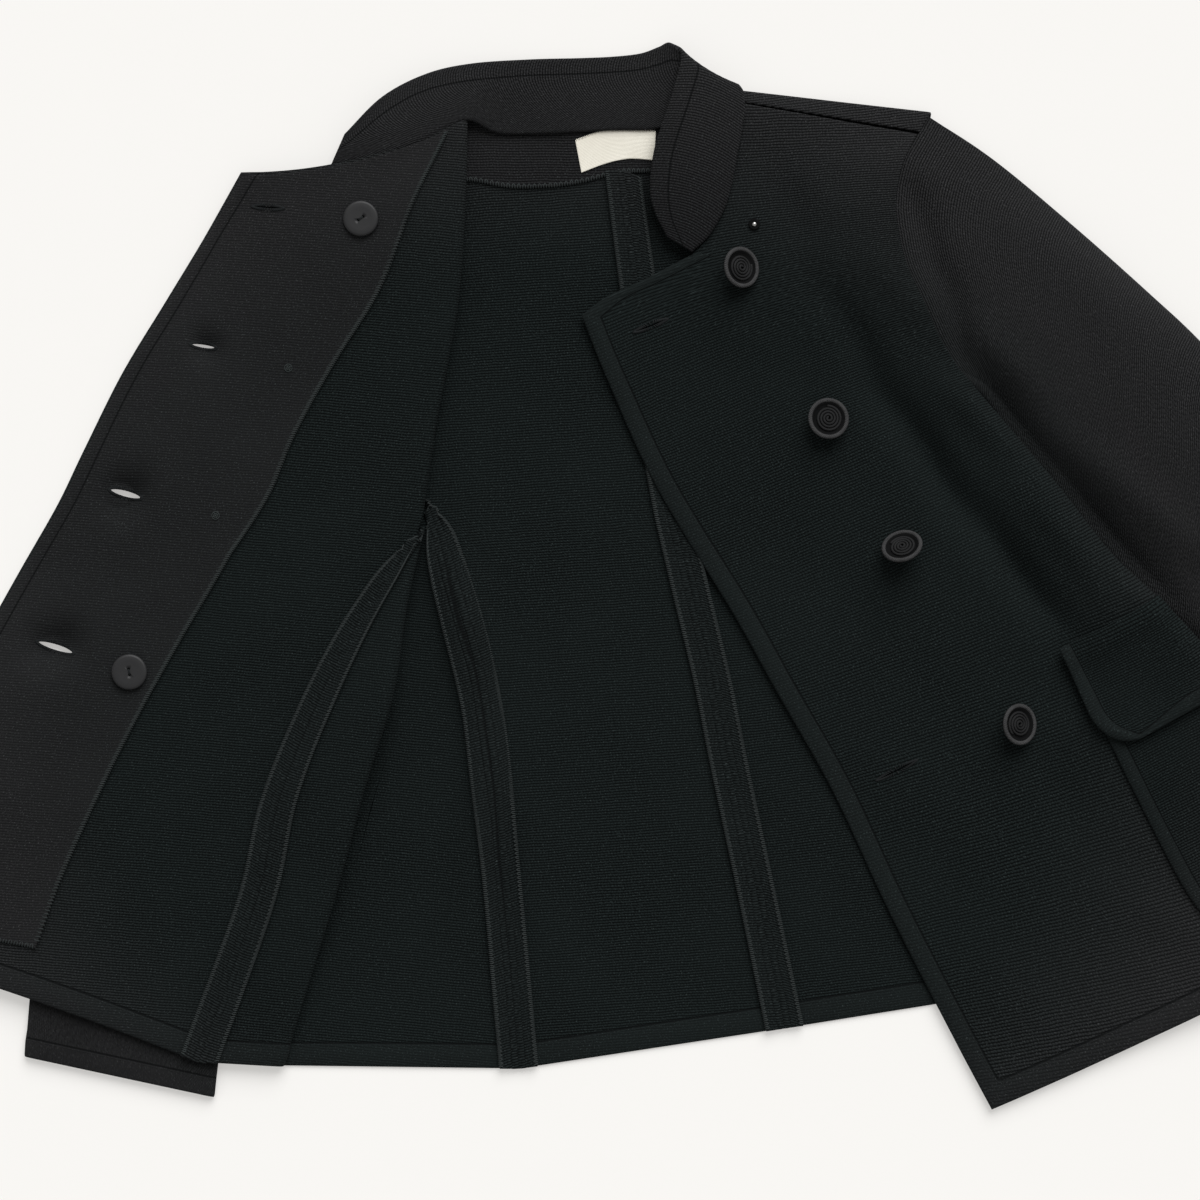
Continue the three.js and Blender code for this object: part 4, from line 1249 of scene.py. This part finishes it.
def add_seam_strips():
    def side_back(s, v):
        return side_right.at(side_right.back_share(s, v), v)

    def side_front(s, v):
        return side_right.at(side_right.front_share(s, v), v)

    # Each has the two sides of its seam, the row that it starts from and how many rows it runs.
    seams = {
        "seam_strip_back": (
            far_of(back_right, 0), near_of(back_left, BACK_LEFT_NECK_ROW), 0.44, 7.56, 0, ON_BACK,
        ),
        "seam_strip_side_back": (
            side_back, near_of(back_right, BACK_RIGHT_ARMPIT_ROW), 0.06, 4.94, TIP,
            ["back_right_cloth", "side_right_cloth"],
        ),
        "seam_strip_side_front": (
            far_of(front_right, FRONT_RIGHT_SEAM_ROW), side_front, -0.1, 5.1, TIP,
            ["front_right_cloth", "side_right_cloth"],
        ),
    }
    half = SEAM_STRIP_WIDTH / 2
    for node, (near, far, start, length, tip, under) in seams.items():
        cloth(
            node, seamed(strip(near, far, start, length), tip), (34, 150), under,
            STRIP_CLOTH, slot="band", lift=CLOTH / 2 + GAP + STRIP_CLOTH / 2,
            # A little extra painted light on the seam strips.
            bands={"near": half, "far": half}, felt=False, nap=0.12,
        )


def add_sleeves():
    halves = {
        "sleeve_left_upper": (SLEEVE_LEFT, left_front_armhole, False, 2.4, SLEEVE_CREASES),
        "sleeve_left_under": (SLEEVE_LEFT, left_back_armhole, True, 40, None),
        "sleeve_right_upper": (SLEEVE_RIGHT, right_turned_edge, False, 30, None),
        "sleeve_right_under": (SLEEVE_RIGHT, right_back_armhole, True, 40, None),
    }
    for node, (rows, armhole, under, fullness, folds) in halves.items():
        cloth(
            node, sleeve_half(rows, armhole, under, fullness, folds), (90, 180) if folds else (40, 90),
            ON_FLOOR if under else [node.replace("upper", "under") + "_cloth"],
            # Extra painted light lightens the sleeves, as on their lit tops.
            THIN_CLOTH, bands={"bottom": CUFF_BAND}, nap=0.45,
        )


def lipped(shape):
    """A flap whose open edges stand up a little and whose top swells over its seam."""
    def at(u, v):
        point = shape(u, v)
        edge = np.exp(-(u / 0.07) ** 2) + np.exp(-((1 - v) / 0.16) ** 2)
        seam = np.exp(-((v - 0.12) / 0.12) ** 2)
        point[..., 2] += LIP_RISE * np.minimum(edge, 1) + FLAP_SEAM_RISE * seam
        return point
    return at


def add_pockets():
    low = CLOTH / 2 + 3 * GAP + THIN_CLOTH / 2
    high = low + THIN_CLOTH + 2 * GAP
    patches = {
        "pocket_left": (front_left, POCKET_LEFT, low, "front_left_cloth"),
        "flap_left": (front_left, FLAP_LEFT, high, "pocket_left_cloth"),
        "pocket_right": (front_right, POCKET_RIGHT, -low, "front_right_cloth"),
        "flap_right": (front_right, FLAP_RIGHT, -high, "pocket_right_cloth"),
    }
    for node, (panel, place, lift, under) in patches.items():
        shape = patch(panel, place)
        count, ribs = ((60, 60), 27) if panel is front_left else ((30, 30), 3)
        cloth(
            node, lipped(shape) if node == "flap_left" else shape, count, [under], THIN_CLOTH,
            # Less painted light on pockets and flaps: painted shade keeps them darker.
            lift=lift, ribs=ribs, bands={"near": POCKET_BAND, "bottom": POCKET_BAND}, nap=-0.4,
        )


def edge_stitches(name, piece, side, pitch, depth, paint=THREAD, thread=0.3):
    """Overlock stitches wrapped over one edge of a piece, from its top face round its rim."""
    top, outward = piece.top, piece.outward
    if side in ("near", "far"):
        top, outward = top.swapaxes(0, 1), outward.swapaxes(0, 1)
    run = lengths(top, 1)[0]
    if side in ("far", "bottom"):
        top = top[::-1]
    line, inward, normal = top[0], top[EDGE_POINTS] - top[0], outward[EDGE_POINTS]
    places = np.arange(pitch, run[-1] - pitch, pitch)
    def along(values):
        return np.stack([np.interp(places, run, values[:, k]) for k in range(3)], -1)

    line, inward, normal = along(line), unit(along(inward)), unit(along(normal))
    ahead = unit(np.gradient(line, axis=0))
    inward = unit(inward - normal * (inward * normal).sum(-1, keepdims=True))
    drift = np.where(np.arange(len(places)) % 2, 0.5, -0.5)[:, None] * pitch
    path = [
        line + inward * depth + normal * 0.15 + ahead * drift,
        line + inward * depth * 0.5 + normal * 0.5,
        line + inward * 0.1 + normal * 0.3,
        line - inward * 0.35 - normal * 0.25,
        line - inward * 0.1 - normal * 0.8 + ahead * 0.3 * pitch,
    ]
    return attach(tubes(name, np.stack(path, 1), pitch * thread, 4, normal[:, None]), paint)


def add_stitching():
    """The overlocked edges, each with its pitch and depth in millimetres."""
    for node in ("seam_strip_back", "seam_strip_side_back", "seam_strip_side_front"):
        for side in ("near", "far"):
            edge_stitches(node + "_overlock_" + side, CLOTHS[node], side, 1.3, 2.4)
    facing = CLOTHS["facing_right"]
    edge_stitches("facing_overlock", facing, "far", 1.4, 2.8, thread=0.38)
    edge_stitches("facing_overlock_bottom", facing, "bottom", 1.8, 3.0)
    edge_stitches("neck_overlock", CLOTHS["neck_facing"], "bottom", 1.7, 2.6)
    edge_stitches("label_overlock", CLOTHS["label"], "top", 1.1, 0.7, LABEL_THREAD)


def buttonhole(name, slit, piece, open_width):
    """Close stitches round a slit. Where it is shut, a dark tube along it is painted shade."""
    run, ahead, sideways, middle = along_slit(*slit)
    shut = open_width <= SHUT_WIDTH
    turns = full_turn(64)
    flat = np.sign(np.cos(turns)) * np.abs(np.cos(turns)) ** 0.7
    inner = middle + ahead * (flat * run / 2)[:, None]
    inner = inner + sideways * (np.sin(turns) * open_width / 2)[:, None]
    away = unit(ahead * (flat * run * 0.12)[:, None] + sideways * np.sin(turns)[:, None])
    paths = []
    for near, out in zip(inner, away):
        far = near + out * STITCH_REACH
        near = near + UP * piece.level(near[0], near[1])
        far = far + UP * piece.level(far[0], far[1])
        paths.append([near - UP * 0.7, near + UP * 0.35, (near + far) / 2 + UP * 0.45, far])
    attach(tubes(name, paths, 0.42 if shut else 0.28), DARK_THREAD)
    # Painted shade: a dark tube along the shut slit stands in for the shade inside it.
    if shut:
        painted_shade = [middle + ahead * t * run / 2 for t in np.linspace(-0.96, 0.96, 12)]
        painted_shade = [[p[0], p[1], piece.level(p[0], p[1]) + 0.05] for p in painted_shade]
        attach(tubes(name + "_painted_shade", [painted_shade], 0.35, 6), PAINTED_SLIT_SHADE)


def add_buttonholes():
    for i, slit in enumerate(OPEN_SLITS):
        buttonhole("buttonhole_right_%d" % (i + 2), slit[:4], CLOTHS["facing_right"], slit[4])
    for i, slit in enumerate(SHUT_SLITS_RIGHT):
        buttonhole("buttonhole_right_%d" % (i + 1), slit, CLOTHS["facing_right"], SHUT_WIDTH)
    for i, slit in enumerate(SHUT_SLITS_LEFT):
        buttonhole("buttonhole_left_%d" % (i + 1), slit, CLOTHS["front_left"], SHUT_WIDTH)


def lathe(outline, sides):
    """Points and faces of an outline of radius and height turned round Z."""
    rings = np.array(outline, float)
    points = circling(rings[:, :1], full_turn(sides), rings[:, 1:]).reshape(-1, 3)
    j, i = np.meshgrid(np.arange(len(rings) - 1), np.arange(sides), indexing="ij")
    a, b = j * sides + i, j * sides + (i + 1) % sides
    faces = np.stack([a, b, b + sides, a + sides], -1).reshape(-1, 4).tolist()
    faces.append(list(range(sides))[::-1])
    faces.append([(len(rings) - 1) * sides + k for k in range(sides)])
    return points, faces


def turned_round(axis, angle):
    """The matrix that turns points round X, Y or Z, counted from nought."""
    matrix = np.eye(3)
    j, k = (axis + 1) % 3, (axis + 2) % 3
    matrix[j, j] = matrix[k, k] = math.cos(angle)
    matrix[j, k], matrix[k, j] = -math.sin(angle), math.sin(angle)
    return matrix


def seat(made, centre, tilt_x=0.0, tilt_y=0.0, turn=0.0):
    """Turns a button's points, which are in millimetres from its foot, and puts it in place."""
    mesh = made.data
    points = np.zeros(len(mesh.vertices) * 3)
    mesh.vertices.foreach_get("co", points)
    points = points.reshape(-1, 3) / MM + ORIGIN
    tilt = turned_round(0, math.radians(-tilt_x)) @ turned_round(1, math.radians(tilt_y))
    points = points @ (tilt @ turned_round(2, math.radians(turn))).T + centre
    mesh.vertices.foreach_set("co", ((points - ORIGIN) * MM).ravel())
    mesh.update()


# Each button on the left front: its foot in plan, tilts in degrees and turn.
SHANK_BUTTONS_LEFT = table("x y tiltX tiltY turn", [
    [86, 212, 6, 32, 20],
    [145, 115, 8, 8, 95],
    [195, 29, 42, -14, 150],
    [264, -80, 4, 32, 230],
])
SHANK_BUTTONS_RIGHT = table("row across turn", [
    [0.72, 92, 40],
    [2.95, 108, 130],
    [5.15, 104, 215],
    [7.1, 106, 300],
])
FLAT_BUTTONS = table("x y turn", [
    [-153, 244, 35],
    [-301, -46, 100],
])
STUD_PLACE = (99, 241)
STITCH_PLACES = ((-199.5, 148.5), (-246, 54))
BUTTON = {
    "radius": 13.5, "height": 5.6, "shank": 5.0, "foot": 3,
    "strand": 1.15, "strands": 3, "twists": 22, "sunk": 0.46,
}
FLAT = {"radius": 11.5, "height": 3.0, "rim": 1.8, "hole": 0.9, "apart": 1.7, "middle": 0.95}


def ring_of_cord(radius, level):
    """Strands twisted round a ring, each as a closed run of points."""
    twists, wide = BUTTON["twists"], 0.62 * BUTTON["strand"]
    turns = np.linspace(0, 2 * math.pi, 40 * twists // 5)
    paths = []
    for k in range(BUTTON["strands"]):
        phase = turns * twists + 2 * math.pi * k / BUTTON["strands"]
        reach = radius + wide * np.cos(phase)
        high = level + wide * np.sin(phase)
        paths.append(circling(reach, turns, high))
    return paths


def spiral_of_cord(inner, outer, level, coils, rise):
    """A flat spiral that domes a little towards its middle."""
    share = np.linspace(0, 1, 34 * coils)
    turns = share * coils * 2 * math.pi
    reach = inner + (outer - inner) * share
    return circling(reach, turns, level + rise * (1 - share ** 2))[None]


def shank_button(node, centre, tilt_x, tilt_y, turn, shank):
    """A plain rosette of cord: a twisted rim round a sunken spiral, on a domed core."""
    r, h, strand, foot = (BUTTON[key] for key in ("radius", "height", "strand", "foot"))
    sunk = shank + h * BUTTON["sunk"]
    outline = [[0.01, 0], [foot, 0], [foot, shank]] if shank else [[0.01, 0]]
    outline += [
        [r * 0.7, shank], [r * 0.93, shank + h * 0.3], [r * 0.93, shank + h * 0.6],
        [r - 3, shank + h * 0.68], [r - 4, shank + h * 0.52], [r - 4.6, sunk],
        [r * 0.4, sunk], [0.01, sunk],
    ]
    core = new_mesh(node + "_core", *lathe(outline, 48))
    rim = ring_of_cord(r - strand * 1.35, shank + h * 0.62)
    rim = tubes(node + "_rim", rim, strand * 0.62, 7)
    spiral = spiral_of_cord(0.6, r - 5.2, shank + h * 0.5, 4, 0.9)
    spiral = tubes(node + "_spiral", spiral, 0.85, 6)
    for made, paint in ((core, BUTTON_CORE), (rim, CORD), (spiral, SPIRAL_CORD)):
        seat(made, centre, tilt_x, tilt_y, turn)
        attach(made, paint, node if made is core else None)


def resting_level(row):
    """The height of a leaning button's foot, with its low side on the cloth."""
    tilt_x, tilt_y = math.radians(row["tiltX"]), math.radians(row["tiltY"])
    normal = np.array([
        math.sin(tilt_y), math.sin(tilt_x) * math.cos(tilt_y), math.cos(tilt_x) * math.cos(tilt_y),
    ])
    sine = math.hypot(normal[0], normal[1])
    rim = (BUTTON["radius"], BUTTON["shank"] + 0.4 * BUTTON["height"])
    levels = []
    for radius, height in ((BUTTON["foot"], 0), rim):
        out = radius * normal[2] / sine + height
        place = np.array([row["x"], row["y"]]) + normal[:2] * out
        under = CLOTHS["front_left"].level(*place)
        levels.append(under + radius * sine - height * normal[2])
    return max(levels)


def add_shank_buttons():
    for k, row in enumerate(each(SHANK_BUTTONS_LEFT)):
        node = "button_left_%d" % (k + 1)
        centre = np.array([row["x"], row["y"], resting_level(row) + GAP])
        level = CLOTHS["front_left"].level(row["x"], row["y"])
        sewn = np.linspace([row["x"], row["y"], level - 1], centre + UP, 4)
        attach(tubes(node + "_sewn_shank", [sewn], 1.6, 8, ACROSS), DARK_THREAD)
        shank_button(node, centre, row["tiltX"], row["tiltY"], row["turn"], BUTTON["shank"])
    for k, row in enumerate(each(SHANK_BUTTONS_RIGHT)):
        node = "button_right_%d" % (k + 1)
        low, high = np.array(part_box(node)) / MM
        centre = np.append((low + high)[:2] / 2, high[2]) + ORIGIN
        shank_button(node, centre, 180, 0, row["turn"], 0)


def add_flat_buttons():
    r, h, rim = FLAT["radius"], FLAT["height"], FLAT["rim"]
    outline = [
        [0.01, 0], [r * 0.8, 0], [r * 0.96, h * 0.25], [r, h * 0.55], [r - 0.3, h * 0.8],
        [r - 0.9, h * 0.95], [r - rim, h], [r * 0.6, h * 0.98], [r * 0.4, h * 0.96],
        [0.01, h * FLAT["middle"]],
    ]
    high = UP * h * FLAT["middle"]
    for k, row in enumerate(each(FLAT_BUTTONS)):
        node = "flat_button_%d" % (k + 1)
        centre = np.array([row["x"], row["y"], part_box(node)[0][2] / MM])
        disc = new_mesh(node + "_disc", *lathe(outline, 64))
        turn = math.radians(row["turn"])
        ahead = np.array([math.cos(turn), math.sin(turn), 0]) * FLAT["apart"]
        for side in (-1, 1):
            drill = new_mesh("drill", *lathe([[FLAT["hole"], -1], [FLAT["hole"], h + 1]], 24))
            drill.location = (ahead * side * MM).tolist()
            carve(disc, drill)
        seat(disc, centre)
        attach(disc, HORN, node)
        paths = []
        for shift in (-0.17, 0, 0.17):
            start = centre - ahead + beside(ahead) * shift
            end = start + 2 * ahead
            paths.append([
                start + UP * 0.6, start + high + UP * 0.25 + ahead * 0.05,
                (start + end) / 2 + high + UP * 0.5,
                end + high + UP * 0.25 - ahead * 0.05, end + UP * 0.6,
            ])
        attach(tubes(node + "_thread", paths, THREAD_RADIUS, 6), DARK_THREAD)


def add_stud():
    centre = np.array([*STUD_PLACE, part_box("press_stud")[0][2] / MM])
    base = [[0.01, 0], [3.6, 0], [3.6, 0.7], [3.1, 1.1], [2.4, 0.9], [1.6, 0.8], [0.01, 0.8]]
    cap = [[0.01, 0.7], [1.5, 0.7], [1.5, 1.3], [1.2, 1.7], [0.7, 1.95], [0.01, 2.0]]
    for name, outline, paint in (("stud_base", base, BUTTON_CORE), ("stud_cap", cap, STUD)):
        made = new_mesh(name, *lathe(outline, 40))
        seat(made, centre)
        attach(made, paint, "press_stud" if name == "stud_base" else None)


def thread_marks():
    """The small rings and crosses of thread that hold the buttons under the facing."""
    turns = np.linspace(0, 2 * math.pi, 24)
    steps = np.linspace(-2.4, 2.4, 24)[:, None]
    for k, (x, y) in enumerate(STITCH_PLACES):
        level = CLOTHS["facing_right"].level(x, y)
        paths = []
        for reach in (1.3, 2.4):
            paths.append(circling(reach, turns, 0.35) + [x, y, level])
        for turn in (0.5, 2.1):
            ahead = np.array([math.cos(turn), math.sin(turn), 0])
            paths.append([x, y, level + 0.5] + ahead * steps)
        attach(tubes("button_stitch_%d" % (k + 1), paths, THREAD_RADIUS), THREAD)


def add_stage():
    side = STAGE_SIDE
    points = np.array([[-side, -side, 0], [side, -side, 0], [side, side, 0], [-side, side, 0]])
    points = points / MM + ORIGIN - UP * FLOOR_DROP
    floor = new_mesh("studio_floor", points, [[0, 1, 2, 3]])
    floor.data.materials.append(FLOOR)
    scene = bpy.context.scene
    scene.view_settings.view_transform = "Standard"
    world = bpy.data.worlds.new("studio")
    scene.world = world
    world.use_nodes = True
    background = world.node_tree.nodes["Background"].inputs
    background[0].default_value = SKY["colour"]
    background[1].default_value = SKY["strength"]
    sun = bpy.data.lights.new("soft_key", "SUN")
    sun.energy = SUN["strength"]
    sun.angle = math.radians(SUN["spread"])
    key = bpy.data.objects.new("soft_key", sun)
    key.rotation_euler = [math.radians(angle) for angle in SUN["turns"]]
    scene.collection.objects.link(key)
    camera = bpy.data.cameras.new("overhead")
    camera.sensor_width = CAMERA["sensor"]
    frame_width = PHOTO_WIDTH * MM_PER_PIXEL * MM
    camera.lens = CAMERA["sensor"] * CAMERA["height"] / frame_width
    camera.clip_end = CAMERA["sees"]
    view = bpy.data.objects.new("overhead", camera)
    view.location = (-ORIGIN[0] * MM, -ORIGIN[1] * MM, CAMERA["height"])
    scene.collection.objects.link(view)
    scene.camera = view


add_stage()
add_cloths()
add_seam_strips()
add_sleeves()
add_pockets()
add_stitching()
add_buttonholes()
add_shank_buttons()
add_flat_buttons()
add_stud()
thread_marks()
